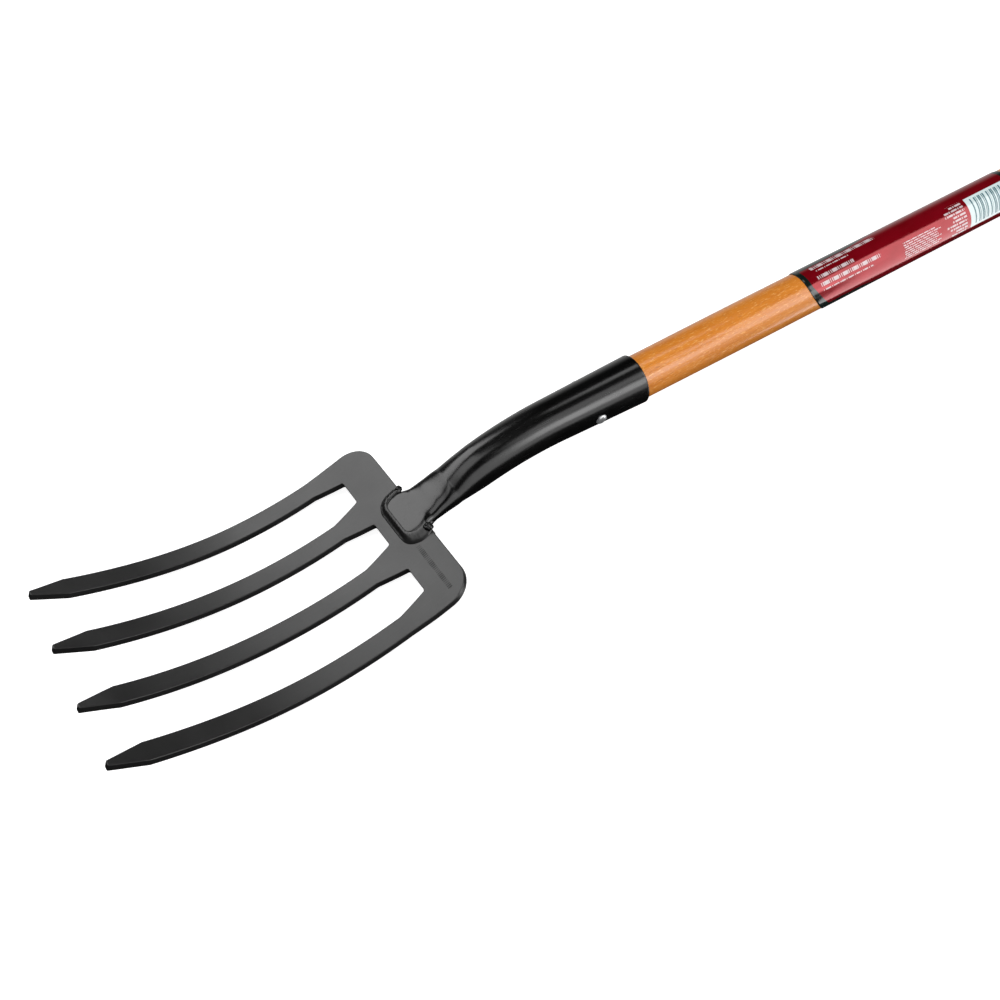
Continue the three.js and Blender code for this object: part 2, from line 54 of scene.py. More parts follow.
def share(value, start, end):
    """How far a value is on the way from start to end, from 0 to 1."""
    return np.clip((value - start) / (end - start), 0, 1)


def lerp(a, b, t):
    return a + (b - a) * t


def unit(vector):
    return vector / np.linalg.norm(vector)


def add_object(name, data):
    made = bpy.data.objects.new(name, data)
    scene.collection.objects.link(made)
    return made


# ---- camera
# its place in metres and its axes, as fitted to the photo
CAMERA_AT = (-0.46643, -0.58274, 0.69109)
CAMERA_RIGHT = (0.84264, -0.52474, -0.12089)
CAMERA_DOWN = (-0.46330, -0.59205, -0.65941)
CAMERA_FORWARD = (0.27445, 0.61165, -0.74200)
CAMERA_LENS = 44.374  # mm
SENSOR_WIDTH = 36  # mm
CAMERA_CLIP = (0.01, 100)  # m


def make_camera():
    data = bpy.data.cameras.new("camera")
    data.lens = CAMERA_LENS
    data.sensor_width = SENSOR_WIDTH
    data.clip_start, data.clip_end = CAMERA_CLIP
    camera = add_object("camera", data)
    axes = [Vector(CAMERA_RIGHT), -Vector(CAMERA_DOWN), -Vector(CAMERA_FORWARD)]
    camera.matrix_world = Matrix.Translation(CAMERA_AT) @ Matrix(axes).transposed().to_4x4()
    scene.camera = camera


make_camera()

# ---- dimensions
# Millimetres and radians in the tool's frame, as in the CAD: X runs along the shaft from the socket's
# mouth to the grip, Z up. A distance runs from the mouth towards the head, and s from the plate's back
# edge to the points.
FIT_GAP = 0.3

HEAD_HALF_WIDTH = 87
HEAD_LENGTH = 272.6
HEAD_THICKNESS = 5.2
HEAD_PITCH = 0.323
HEAD_FLAT = 15.3
HEAD_BEND_RADIUS = 328
PLATE_CORNER_RADIUS = 21
ROOT_AT = 30.7
ROOT_HALF_WIDTH = 12
KINK_AT = 55
SHOULDER_AT = 247.3
TINE_HALF_WIDTH = 8.1
TIP_HALF_WIDTH = 2.3
TINE_SPACING_ROOT = 52.1
TINE_SPACING_TIP = 54.9
TINE_POSITIONS = (1.5, 0.5, -0.5, -1.5)
TINE_LIFT = (2.5, 0.9, -0.5, 1.9)  # how far each tine is forged above the even curve
TIP_DROP = (1.2, 1.5, 2.6, 1.6)  # how far its point comes down again
LIFT_FROM, LIFT_TO = 115, 235
TIP_DROP_POWER = 1.5
EDGE_ROUND = 0.5
SIDE_BAND = 0.5  # next to the rounded edge, so that its shading doesn't spread over the side
KINK_ROUND = (60, 9)  # where a tine leaves the plate: outside the outer tines, and between tines
SHOULDER_ROUND = 4
TIP_ROUND = 1.3
ROOT_ROUND = 1.9
HEAD_MESH_STEP = 4.0  # between points inside the outline
STRAIGHT_STEP = 3.0  # along its straight stretches
ARC_STEP = 0.45  # along its arcs, where no step turns by less than ARC_TURN
ARC_TURN = math.radians(7)

SOCKET_MOUTH_RADIUS = 19.85
SOCKET_BEND_END_RADIUS = 17.9
SOCKET_NECK_RADIUS = 16.8
SOCKET_RISE = -0.0125
SOCKET_STRAIGHT = 77
SOCKET_BEND_RADIUS = 282
SOCKET_HEADING = 0.275
PRESS_START = 150
FOOT_AT = 200
FOOT_TURN = 10
FOOT_LENGTH = 17.5
FOOT_HALF_WIDTH = 22.3
FOOT_JAW = 3.2
FOOT_CORNER_RADIUS = 10
FOOT_FLARE = 2
FLARE_LENGTH = 4
FOOT_OFFSET = 2.45
PRESSED_HALF_HEIGHTS = [  # (distance, half height)
    (138, 16.98), (150, 16.3), (160, 14.6), (170, 12.0), (180, 9.4), (186, 8.1), (190, 6.8),
    (194, 5.9), (197, HEAD_THICKNESS / 2 + FOOT_JAW),
]
WIDENING = [(PRESS_START, 0), (175, 0.5), (187.5, 1), (196, 2)]  # (distance, more half width)
SHOULDERS_START = 169  # from here on the pressed tube gets a flat top between rounded shoulders
SHOULDER_SOFTNESS = [(SHOULDERS_START, 0.9), (184, 0.8), (192, 0.5), (FOOT_AT, 0.15)]
# at the foot, the ellipse that the flat is cut from is this many times as tall as the flat
SQUARE_RATIO = FOOT_HALF_WIDTH / 2 / (HEAD_THICKNESS / 2 + FOOT_JAW)
MOUTH_WALL = 1.5
FOOT_WALL = 2.9
FOOT_EDGE_ROUND = 0.9
SLOT_HALF_WIDTH = 60
SLOT_GAP = 0.05
SOCKET_RIVET_AT = 44
SOCKET_RIVET_TURN = 0.21  # round the tool's line, which brings its -Y end lower

SHAFT_RADIUS = 18
SHAFT_NECK_RADIUS = 17.65
SHAFT_NECK_LENGTH = 100
TENON_DEPTH = 80
TENON_MOUTH_RADIUS = 17.5
TENON_END_RADIUS = 14.4
WRAP_START = 161.5
WRAP_LENGTH = 228
WRAP_THICKNESS = 0.35
WRAP_SLANT = 23.7  # how much later the film starts opposite its tip
WRAP_SLANT_POWER = 1.5
WRAP_TIP = 80  # degrees up from the -Y side
WRAP_EDGE = 0.25
RIVET_RADIUS = 2.5
RIVET_HEAD_RADIUS = 4.6
RIVET_HEAD_HEIGHT = 1.6

YOKE_START = 470
YOKE_SLEEVE_LENGTH = 45
YOKE_SLEEVE_RADIUS = 19.3
YOKE_WALL = 1.7
YOKE_RIVET_AT = 488
SHAFT_END = 505
BAR_AT = 598
EYE_CENTRE = 52
EYE_HALF_THICKNESS = 5.5
EYE_RADIUS = 17.5
EYE_INNER_FACE = EYE_CENTRE - EYE_HALF_THICKNESS
EYE_RECESS_RADIUS = 12.4
EYE_RECESS_DEPTH = 2.5
RECESS_END = EYE_INNER_FACE + EYE_RECESS_DEPTH
BAR_RADIUS = 15.4
BAR_END_RADIUS = 12
ROD_RADIUS = 4
ROD_HEAD_RADIUS = 7
ROD_HEAD_HEIGHT = 2.6
WASHER_RADIUS = 9.5
WASHER_THICKNESS = 1.3


# ---- the tool's frame
SOCKET_BEND = (SOCKET_HEADING - SOCKET_RISE) * SOCKET_BEND_RADIUS
SOCKET_STRETCHES = [  # (length, turn per mm); the foot's has no end
    (SOCKET_STRAIGHT, 0),
    (SOCKET_BEND, 1 / SOCKET_BEND_RADIUS),
    (FOOT_AT - FOOT_TURN - SOCKET_STRAIGHT - SOCKET_BEND, 0),
    (FOOT_TURN, (HEAD_PITCH - SOCKET_HEADING) / FOOT_TURN),
    (math.inf, 0),
]


def socket_line(distance):
    """The socket's middle line in the XZ plane: x, z and how steeply it falls, as an angle."""
    x, z, heading = 0.0, 0.0, SOCKET_RISE
    for length, turn in SOCKET_STRETCHES:
        step = min(distance, length)
        after = heading + turn * step
        if turn:
            x -= (math.sin(after) - math.sin(heading)) / turn
            z += (math.cos(after) - math.cos(heading)) / turn
        else:
            x -= step * math.cos(heading)
            z -= step * math.sin(heading)
        heading = after
        distance -= step
    return x, z, heading


def beside(line_point, y, up):
    """Points across a place on a bent line: y to the side and up at a right angle to the line."""
    x, z, heading = line_point
    away = np.broadcast_arrays(x - up * math.sin(heading), y, z + up * math.cos(heading))
    return np.stack(away, axis=-1)


foot_start = beside(socket_line(FOOT_AT), 0.0, FOOT_OFFSET + HEAD_THICKNESS / 2)


def head_points(s, y, up):
    """Points beside the head's bent top face: s from the back edge, y across, up above it."""
    s, y, up = np.broadcast_arrays(*(np.asarray(value, float) for value in (s, y, up)))
    flat = np.minimum(s, HEAD_FLAT)
    heading = HEAD_PITCH - np.maximum(s - HEAD_FLAT, 0) / HEAD_BEND_RADIUS
    x = foot_start[0] - flat * math.cos(HEAD_PITCH)
    x = x + HEAD_BEND_RADIUS * (np.sin(heading) - math.sin(HEAD_PITCH))
    z = foot_start[2] - flat * math.sin(HEAD_PITCH)
    z = z - HEAD_BEND_RADIUS * (np.cos(heading) - math.cos(HEAD_PITCH))
    return np.stack([x - up * np.sin(heading), y, z + up * np.cos(heading)], axis=-1)


def box_middle(node):
    low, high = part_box(node)
    return np.array((low + high) / 2)


def tool_frame():
    """Turn and shift from the tool's frame to the row's, from where the CAD has the two rivets."""
    rivet_x, rivet_z, _ = socket_line(SOCKET_RIVET_AT)
    front, back = box_middle("socket_rivet"), box_middle("yoke_rivet")
    drawn = math.atan2(-rivet_z, YOKE_RIVET_AT - rivet_x)
    lying = math.atan2(back[2] - front[2], back[0] - front[0])
    c, s = math.cos(drawn - lying), math.sin(drawn - lying)
    turn = np.array([[c, 0, s], [0, 1, 0], [-s, 0, c]])
    shift = back - turn @ np.array([YOKE_RIVET_AT * MM, 0, 0])
    return turn, shift


TOOL_TURN, TOOL_SHIFT = tool_frame()


def to_row(points):
    return (np.asarray(points, float) * MM) @ TOOL_TURN.T + TOOL_SHIFT


# ---- mesh helpers
ROOT_BODY = "root"
AXIS = 0.01  # the radius of a turned solid's end rings, almost on its axis


def mesh_from(name, points, faces):
    mesh = bpy.data.meshes.new(name)
    mesh.from_pydata(to_row(points).tolist(), [], faces)
    return mesh


def piece_from(name, points, faces, slot, nodes, uv=None, sharp=None):
    """A piece from points in the tool's frame, riding on the root body and standing for CAD nodes.

    Where sharp is given, edges that turn by more than that many degrees aren't smoothed.
    """
    mesh = mesh_from(name, points, faces)
    mesh.validate()
    if uv is not None:
        write_uv(mesh, uv)
    for polygon in mesh.polygons:
        polygon.use_smooth = True
    mesh.materials.append(FINISHES[slot])
    piece = add_object(name, mesh)
    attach(piece, ROOT_BODY)
    if nodes:
        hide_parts(*nodes)
    fix_normals(piece)
    if sharp is not None:
        sharpen(piece, sharp)
    return piece


def write_uv(mesh, uv):
    layer = mesh.uv_layers.new(name="surface")
    corners = np.zeros(len(mesh.loops), np.int32)
    mesh.loops.foreach_get("vertex_index", corners)
    layer.data.foreach_set("uv", np.asarray(uv, np.float32)[corners].ravel())


def fix_normals(piece):
    work = bmesh.new()
    work.from_mesh(piece.data)
    bmesh.ops.recalc_face_normals(work, faces=work.faces)
    work.to_mesh(piece.data)
    work.free()


def sharpen(piece, degrees):
    piece.data.set_sharp_from_angle(angle=math.radians(degrees))


def modify(piece, kind, **settings):
    """Replaces a piece's mesh by what a modifier makes of it."""
    modifier = piece.modifiers.new(kind.lower(), kind)
    for key, value in settings.items():
        setattr(modifier, key, value)
    graph = bpy.context.evaluated_depsgraph_get()
    graph.update()
    made = bpy.data.meshes.new_from_object(piece.evaluated_get(graph))
    piece.modifiers.clear()
    piece.data = made


def cut_away(piece, rings):
    """Cuts the solid through some rings out of a piece."""
    cutter = add_object("cutter", mesh_from("cutter", *loft(rings)))
    fix_normals(cutter)
    modify(piece, "BOOLEAN", operation="DIFFERENCE", solver="MANIFOLD", object=cutter)
    bpy.data.objects.remove(cutter)


def ring_faces(rings, back_to_first=False):
    """Faces between neighbouring rings of equal length, and from the last to the first if asked."""
    count, total = len(rings[0]), len(rings)
    faces = []
    for r in range(total if back_to_first else total - 1):
        here, above = r * count, (r + 1) % total * count
        for i in range(count):
            j = (i + 1) % count
            faces.append((here + i, here + j, above + j, above + i))
    return faces


def loft(rings):
    """Points and faces of a solid through rings of equal length; both flat ends get a middle point."""
    count = len(rings[0])
    faces = ring_faces(rings)
    total = len(rings) * count
    top = total - count
    for i in range(count):
        j = (i + 1) % count
        faces.append((total, j, i))
        faces.append((total + 1, top + i, top + j))
    return np.concatenate([*rings, [rings[0].mean(axis=0), rings[-1].mean(axis=0)]]), faces


def turned(profile, sides, axis="x", at=(0, 0, 0)):
    """The rings of a solid turned about an axis, one for each (along, radius) pair of its profile."""
    angles = np.arange(sides) * TAU / sides
    rings = []
    for along, radius in profile:
        a = np.full(sides, float(along))
        u, v = radius * np.cos(angles), radius * np.sin(angles)
        ring = (a, u, v) if axis == "x" else (u, a, -v)
        rings.append(np.stack(ring, axis=1) + np.asarray(at, float))
    return rings


def rounded_profile(corners, count):
    """A profile through (along, radius, rounding) corners, each with a short curve of count points."""
    points = [corners[0][:2]]
    for before, here, after in zip(corners, corners[1:], corners[2:]):
        p = np.array(here[:2], float)
        if here[2] <= 0:
            points.append(tuple(p))
            continue
        a = np.array(before[:2], float) - p
        b = np.array(after[:2], float) - p
        reach = min(here[2], np.linalg.norm(a) * 0.49, np.linalg.norm(b) * 0.49)
        start, end = p + unit(a) * reach, p + unit(b) * reach
        for t in np.linspace(0, 1, count):
            points.append(tuple((1 - t) ** 2 * start + 2 * t * (1 - t) * p + t * t * end))
    points.append(corners[-1][:2])
    return points


def finely(profile, step):
    """The same profile with points at most a step apart."""
    fine = [profile[0]]
    for a, b in zip(profile, profile[1:]):
        start, gap = np.array(a), np.array(b) - np.array(a)
        pieces = max(1, math.ceil(np.hypot(*gap) / step))
        fine.extend(tuple(start + gap * k / pieces) for k in range(1, pieces + 1))
    return fine


def loft_uv(count, lengths):
    """UV for a loft: distance along the piece in metres, and the turn round it from 0 to 1."""
    rings = [(length * MM, i / count) for length in lengths for i in range(count)]
    return rings + [(lengths[0] * MM, 0.5), (lengths[-1] * MM, 0.5)]


# ---- node helpers
class Nodes:
    """Short names for adding nodes to a tree; a value is a number, a vector, a colour or a socket."""

    def __init__(self, tree):
        self.tree = tree

    def feed(self, socket, value):
        if isinstance(value, bpy.types.NodeSocket):
            self.tree.links.new(value, socket)
        else:
            socket.default_value = value

    def node(self, kind, inputs, **settings):
        made = self.tree.nodes.new("ShaderNode" + kind)
        for key, value in settings.items():
            setattr(made, key, value)
        for key, value in inputs.items():
            self.feed(made.inputs[key], value)
        return made

    def math(self, operation, *values):
        return self.node("Math", dict(enumerate(values)), operation=operation).outputs[0]

    def chain(self, operation, values):
        return reduce(lambda result, value: self.math(operation, result, value), values)

    def times(self, *values):
        return self.chain("MULTIPLY", values)

    def plus(self, *values):
        return self.chain("ADD", values)

    def most(self, *values):
        return self.chain("MAXIMUM", values)

    def minus(self, first, second):
        return self.math("SUBTRACT", first, second)

    def sine(self, value):
        return self.math("SINE", value)

    def over(self, value, limit):
        return self.math("GREATER_THAN", value, limit)

    def under(self, value, limit):
        return self.math("LESS_THAN", value, limit)

    def within(self, value, low, high):
        return self.times(self.over(value, low), self.under(value, high))

    def scaled(self, place, scale):
        return self.node("Mapping", {"Vector": place, "Scale": scale}).outputs[0]

    def object_place(self, scale=(1, 1, 1)):
        return self.scaled(self.node("TexCoord", {}).outputs["Object"], scale)

    def surface(self):
        return self.node("UVMap", {}, uv_map="surface").outputs[0]

    def surface_numbers(self):
        return self.node("SeparateXYZ", {"Vector": self.surface()}).outputs[:2]

    def noise(self, place, scale, detail=4, roughness=0.55, distortion=0):
        inputs = {"Vector": place, "Scale": scale, "Detail": detail, "Roughness": roughness}
        return self.node("TexNoise", {**inputs, "Distortion": distortion}).outputs[0]

    def ramp(self, value, stops):
        made = self.node("ValToRGB", {"Fac": value})
        elements = made.color_ramp.elements
        while len(elements) > 1:
            elements.remove(elements[-1])
        elements[0].position, elements[0].color = stops[0][0], colour(stops[0][1])
        for position, tint in stops[1:]:
            elements.new(position).color = colour(tint)
        return made.outputs[0]

    def span(self, value, low=0.3, high=0.7, to_low=0.0, to_high=1.0):
        """The value's way from low to high, as a number from to_low to to_high."""
        inputs = {"Value": value, "From Min": low, "From Max": high, "To Min": to_low, "To Max": to_high}
        return self.node("MapRange", inputs).outputs[0]

    def mix(self, factor, first, second):
        inputs = {0: factor, 6: colour(first), 7: colour(second)}
        return self.node("Mix", inputs, data_type="RGBA").outputs[2]

    def bump(self, height, strength, distance, below=None):
        """A normal bent by a height, in metres, on top of another bump's normal."""
        inputs = {"Height": height, "Strength": strength, "Distance": distance}
        if below is not None:
            inputs["Normal"] = below
        return self.node("Bump", inputs).outputs[0]


class Finish(Nodes):
    """A material under construction: a Principled shader and the nodes that drive it."""

    def __init__(self, name, **constants):
        self.material = bpy.data.materials.new(name)
        self.material.use_nodes = True
        super().__init__(self.material.node_tree)
        self.shader = self.tree.nodes["Principled BSDF"]
        self.wire(**constants)

    def wire(self, **sockets):
        for name, value in sockets.items():
            self.feed(self.shader.inputs[name.replace("_", " ")], value)
        return self.material


def colour(value):
    """Linear RGBA of an sRGB hex string; a socket stays as it is."""
    if isinstance(value, bpy.types.NodeSocket):
        return value
    parts = [int(value[i : i + 2], 16) / 255 for i in (0, 2, 4)]
    linear = [p / 12.92 if p <= 0.04045 else ((p + 0.055) / 1.055) ** 2.4 for p in parts]
    return (*linear, 1)


# ---- materials
PUNCHED_S = (13.2, 16.8)  # where the row of strokes starts and ends along the plate, and across it
PUNCHED_Y = (-77, -30)


def head_paint():
    """Satin black paint over blanked plate: fine stipple, drawing lines and a row of punched strokes."""
    f = Finish("head_paint", Specular_IOR_Level=0.55)
    place = f.object_place()
    along, across = (f.times(number, 1000) for number in f.surface_numbers())
    wave = f.sine(f.times(across, 3.7))
    pause = f.sine(f.plus(f.times(across, 0.48), 1.0))
    strokes = f.over(f.plus(wave, f.times(pause, 0.5)), 0.3)
    marks = f.times(strokes, f.within(along, *PUNCHED_S), f.within(across, *PUNCHED_Y))
    stipple = f.noise(place, 900, 3, 0.6)
    cloud = f.noise(place, 24)
    lines = f.noise(f.scaled(f.surface(), (30, 420, 1)), 1.0, 4, 0.6)
    tone = f.mix(f.span(cloud), "141414", "1b1b1b")
    tone = f.mix(f.span(lines, 0.55, 0.8, 0, 0.35), tone, "262626")
    tone = f.mix(marks, tone, "050505")
    rough = f.plus(f.span(cloud, 0.25, 0.75, 0.33, 0.41), f.span(stipple, 0.3, 0.7, -0.03, 0.03))
    rough = f.plus(rough, f.times(marks, 0.3))
    relief = f.bump(stipple, 0.25, 0.00006)
    relief = f.bump(lines, 0.12, 0.00005, relief)
    return f.wire(Base_Color=tone, Roughness=rough, Normal=relief)


def socket_paint():
    """Glossy black enamel with a slight orange peel, dust and hairline scuffs."""
    f = Finish("socket_paint", Specular_IOR_Level=0.5)
    place = f.object_place()
    peel = f.noise(place, 260, 2, 0.5)
    cloud = f.noise(place, 30)
    fine = f.noise(f.object_place((60, 900, 900)), 1.0, 4, 0.65)
    tone = f.mix(f.span(cloud), "030303", "070707")
    tone = f.mix(f.span(fine, 0.62, 0.8, 0, 0.4), tone, "171718")
    rough = f.plus(f.span(cloud, 0.3, 0.7, 0.18, 0.23), f.span(fine, 0.55, 0.8, 0, 0.14))
    return f.wire(Base_Color=tone, Roughness=rough, Normal=f.bump(peel, 0.2, 0.0001))


def bright_steel():
    """Zinc-bright steel with fine turning marks."""
    f = Finish("bright_steel", Metallic=0.75)
    cloud = f.noise(f.object_place(), 400, 4, 0.6)
    scratches = f.noise(f.object_place((3000, 500, 500)), 1.0, 3, 0.6)
    tone = f.mix(f.span(cloud), "a6a7a8", "cfd0d1")
    rough = f.span(scratches, 0.3, 0.7, 0.24, 0.4)
    return f.wire(Base_Color=tone, Roughness=rough, Normal=f.bump(scratches, 0.15, 0.00004))


def varnished_wood():
    """Amber varnish over straight hardwood grain with short pores, and light flecks along the grain that are
    partly the wood's own and partly painted glints of the varnish.
    """
    f = Finish("varnished_wood", Specular_IOR_Level=0.2, Coat_Weight=0.6, Coat_Roughness=0.13)
    warp = f.noise(f.object_place((3, 22, 22)), 1.0, 3, 0.5)
    grain = f.noise(f.object_place((14, 190, 190)), 1.0, 5, 0.6, 0.4)
    flecks_and_glints = f.noise(f.object_place((260, 1100, 1100)), 1.0, 3)
    pores = f.noise(f.object_place((110, 1500, 1500)), 1.0, 2, 0.5)
    speckle = f.noise(f.object_place((420, 900, 900)), 1.0, 2, 0.5)
    cloud = f.noise(f.object_place(), 12, 3, 0.5)
    tone = f.ramp(grain, [(0.30, "bb6919"), (0.48, "c7761f"), (0.62, "d07f27"), (0.78, "d98b34")])
    tone = f.mix(f.span(warp, 0.35, 0.7, 0, 0.3), tone, "c2741d")
    tone = f.mix(f.span(cloud, 0.35, 0.65, 0, 0.25), tone, "d28228")
    # lighter flecks along the grain: partly the wood's own flecks, partly painted glints of the varnish
    tone = f.mix(f.span(flecks_and_glints, 0.56, 0.70, 0, 0.7), tone, "e8ac60")
    tone = f.mix(f.span(pores, 0.60, 0.74, 0, 0.5), tone, "8f4d14")
    rough = f.plus(f.span(flecks_and_glints, 0.4, 0.7, 0.34, 0.46), f.span(pores, 0.6, 0.75, 0, 0.15))
    relief = f.bump(speckle, 0.45, 0.00016)
    relief = f.bump(grain, 0.15, 0.0002, relief)
    return f.wire(Base_Color=tone, Roughness=rough, Normal=relief, Coat_Normal=relief)


# the wrap's print: (start, end, lowest, highest) in mm along the shaft and degrees up from the -Y side
BOLD_ROWS = [(175, 242, 91, 102), (174, 212, 59, 68), (174, 237, 39, 48.5)]
FINE_ROWS = [(177, 212, 81, 84.5), (175, 227, 27.5, 31)]
SMALL_PRINT = (261, 299, 1, 47)
SIDE_NOTES = (308, 331, -7, 76)
STRIPE_PANEL = (335, 381, -7, 75)
STRIPES = (340, 376, 0, 68)
ROW_END_SPREAD = 5  # rows of small print start or end unevenly, by about this
FRONT_BAND = 4.6  # dark bands at the film's ends
REAR_BAND = 6.5
BAND_GROWS_BELOW = 48  # degrees; the front band is wider there, by this many mm per degree
BAND_GROWTH = 0.07
PANEL_HIGHEST = 106  # the red panel's edges in degrees
PANEL_LOWEST = -14
PANEL_WIDENS_AT = 215  # mm; it is wider beyond, by this many degrees per mm
PANEL_WIDENING = 0.5


def wrap_strokes(f, along, angle):
    """Masks of the plain bars that stand for print, of the pale panel, and of the stripes in it."""

    def area(start, end, lowest, highest):
        return f.times(f.within(along, start, end), f.within(angle, lowest, highest))

    def dashes(first, second, shift, level):
        """Uneven dashes along the shaft: where the sum of two waves is over a level."""
        waves = [f.sine(f.plus(f.times(along, rate), shift)) for rate in (first, second)]
        return f.over(f.plus(*waves), level)

    def rows(lowest, pitch, thickness):
        """Even rows round the shaft, thickness being a share of their pitch, and each row's number."""
        place = f.math("DIVIDE", f.minus(angle, lowest), pitch)
        number = f.math("FLOOR", place)
        return f.under(f.minus(place, number), thickness), number

    parts = [f.times(area(*row), dashes(0.62, 3.3, 1.7 * k, -0.55)) for k, row in enumerate(BOLD_ROWS)]
    parts += [f.times(area(*row), dashes(0.8, 2.9, 2.3 * k, -0.6)) for k, row in enumerate(FINE_ROWS)]

    start, end, lowest, highest = SMALL_PRINT
    lines, number = rows(lowest, 5.8, 0.5)
    ragged_end = f.plus(end, f.times(f.sine(f.times(number, 2.4)), 3))
    lines = f.times(lines, f.under(along, ragged_end))
    words = dashes(0.9, 3.4, f.times(number, 1.9), -0.9)
    parts.append(f.times(area(start, end + ROW_END_SPREAD, lowest, highest), lines, words))

    lines, number = rows(SIDE_NOTES[2], 9.2, 0.55)
    ragged_start = f.times(f.sine(f.times(number, 1.7)), ROW_END_SPREAD)
    ragged_start = f.plus(SIDE_NOTES[0] + ROW_END_SPREAD, ragged_start)
    lines = f.times(lines, f.over(along, ragged_start))
    words = dashes(0.7, 2.6, f.times(number, 2.2), -0.9)
    parts.append(f.times(area(*SIDE_NOTES), lines, words))

    stripe = f.times(area(*STRIPES), dashes(1.35, 3.1, 0.4, 0.05))
    return f.most(*parts), area(*STRIPE_PANEL), stripe


def wrap_border(f, along, angle):
    """Where the film is dark: a band at each end, and both long edges of the red panel."""
    widening = f.times(f.most(f.minus(along, PANEL_WIDENS_AT), 0), PANEL_WIDENING)
    above = f.over(angle, f.plus(PANEL_HIGHEST, widening))
    below = f.under(angle, f.minus(PANEL_LOWEST, widening))
    turned_away = f.minus(1, f.math("COSINE", f.math("RADIANS", f.minus(angle, WRAP_TIP))))
    slant = f.math("POWER", f.math("DIVIDE", turned_away, 2), WRAP_SLANT_POWER)
    corner = f.times(f.most(f.minus(BAND_GROWS_BELOW, angle), 0), BAND_GROWTH)
    start = f.plus(WRAP_START + FRONT_BAND, f.times(slant, WRAP_SLANT), corner)
    between_bands = f.within(along, start, WRAP_START + WRAP_LENGTH - REAR_BAND)
    return f.most(above, below, f.minus(1, between_bands))


def printed_wrap():
    """Glossy plastic sleeve: dark borders, a deep red panel and plain bars where print would be."""
    f = Finish("printed_wrap", Specular_IOR_Level=0.5)
    distance, turn = f.surface_numbers()
    along = f.times(distance, 1000)
    angle = f.minus(180, f.times(turn, 360))
    ink, panel, stripe = wrap_strokes(f, along, angle)
    border = wrap_border(f, along, angle)
    cloud = f.noise(f.object_place(), 60, 3, 0.5)
    fine = f.noise(f.object_place(), 700, 2, 0.5)
    scuffs = f.noise(f.object_place((40, 500, 500)), 1.0, 4, 0.6)
    red = f.mix(f.span(cloud), "79020d", "870516")
    dark = f.mix(f.span(cloud), "0c1613", "15211e")
    paper = f.mix(f.span(cloud), "c3d2d3", "cddbdc")
    tone = f.mix(border, red, dark)
    tone = f.mix(f.times(ink, 0.85), tone, "c9bfc2")
    tone = f.mix(panel, tone, f.mix(stripe, paper, "3a646c"))
    rough = f.plus(f.span(fine, 0.3, 0.7, 0.10, 0.15), f.span(scuffs, 0.58, 0.8, 0, 0.15))
    metal = f.times(f.minus(1, f.most(ink, border, panel)), 0.35)
    relief = f.bump(fine, 0.06, 0.00004, f.bump(ink, 0.15, 0.00003))
    return f.wire(Base_Color=tone, Metallic=metal, Roughness=rough, Normal=relief)


FINISHES = {  # by material slot
    "head_paint": head_paint(),
    "socket_paint": socket_paint(),
    "bright_steel": bright_steel(),
    "varnished_wood": varnished_wood(),
    "printed_wrap": printed_wrap(),
}


# ---- fork head
def rounded_outline(corners):
    """A closed outline through (s, y, radius) corners, with arcs at the corners and even steps between."""
    arcs = []
    count = len(corners)
    for i, (s, y, radius) in enumerate(corners):
        here = np.array((s, y), float)
        a = unit(np.array(corners[i - 1][:2], float) - here)
        b = unit(np.array(corners[(i + 1) % count][:2], float) - here)
        inside = math.acos(float(np.clip(a @ b, -1, 1)))
        reach = radius / math.tan(inside / 2)
        middle = here + unit(a + b) * radius / math.sin(inside / 2)
        start, end = here + a * reach - middle, here + b * reach - middle
        sweep = math.pi - inside
        steps = max(2, math.ceil(sweep / max(ARC_STEP / radius, ARC_TURN)))
        arcs.append([
            middle + (math.sin((1 - t) * sweep) * start + math.sin(t * sweep) * end) / math.sin(sweep)
            for t in np.linspace(0, 1, steps + 1)
        ])
    outline = []
    for arc, after in zip(arcs, arcs[1:] + arcs[:1]):
        outline.extend(arc)
        gap = after[0] - arc[-1]
        pieces = max(1, math.ceil(np.linalg.norm(gap) / STRAIGHT_STEP))
        outline.extend(arc[-1] + gap * k / pieces for k in range(1, pieces))
    return np.array(outline)


def tine_edge(position, side, s):
    spacing = lerp(TINE_SPACING_ROOT, TINE_SPACING_TIP, share(s, KINK_AT, HEAD_LENGTH))
    half = lerp(TINE_HALF_WIDTH, TIP_HALF_WIDTH, share(s, SHOULDER_AT, HEAD_LENGTH))
    return position * spacing + side * half


def head_corners():
    """The head's outline as (s, y, radius) corners, from the +Y back corner round to the -Y one."""
    edge_end = KINK_AT - PLATE_CORNER_RADIUS
    side = [(0, HEAD_HALF_WIDTH, PLATE_CORNER_RADIUS), (edge_end, HEAD_HALF_WIDTH, KINK_ROUND[0])]
    corners = list(side)
    for position in TINE_POSITIONS:
        for way in (1, -1):
            kink = KINK_ROUND[0] if abs(position + way) > 2 else KINK_ROUND[1]
            stops = ((KINK_AT, kink), (SHOULDER_AT, SHOULDER_ROUND), (HEAD_LENGTH, TIP_ROUND))
            edge = [(at, tine_edge(position, way, at), rounding) for at, rounding in stops]
            corners.extend(edge[::way])
        if position > TINE_POSITIONS[-1]:
            middle = (position - 0.5) * TINE_SPACING_ROOT
            corners.append((ROOT_AT, middle + ROOT_HALF_WIDTH, ROOT_ROUND))
            corners.append((ROOT_AT, middle - ROOT_HALF_WIDTH, ROOT_ROUND))
    return corners + [(s, -y, radius) for s, y, radius in side[::-1]]


def inside_outline(points, outline):
    x, y = points[:, 0], points[:, 1]
    inside = np.zeros(len(points), bool)
    for a, b in zip(outline, np.roll(outline, -1, axis=0)):
        crossing = (a[1] > y) != (b[1] > y)
        if abs(b[1] - a[1]) > 1e-12:
            cut = (b[0] - a[0]) * (y - a[1]) / (b[1] - a[1]) + a[0]
            inside ^= crossing & (x < cut)
    return inside


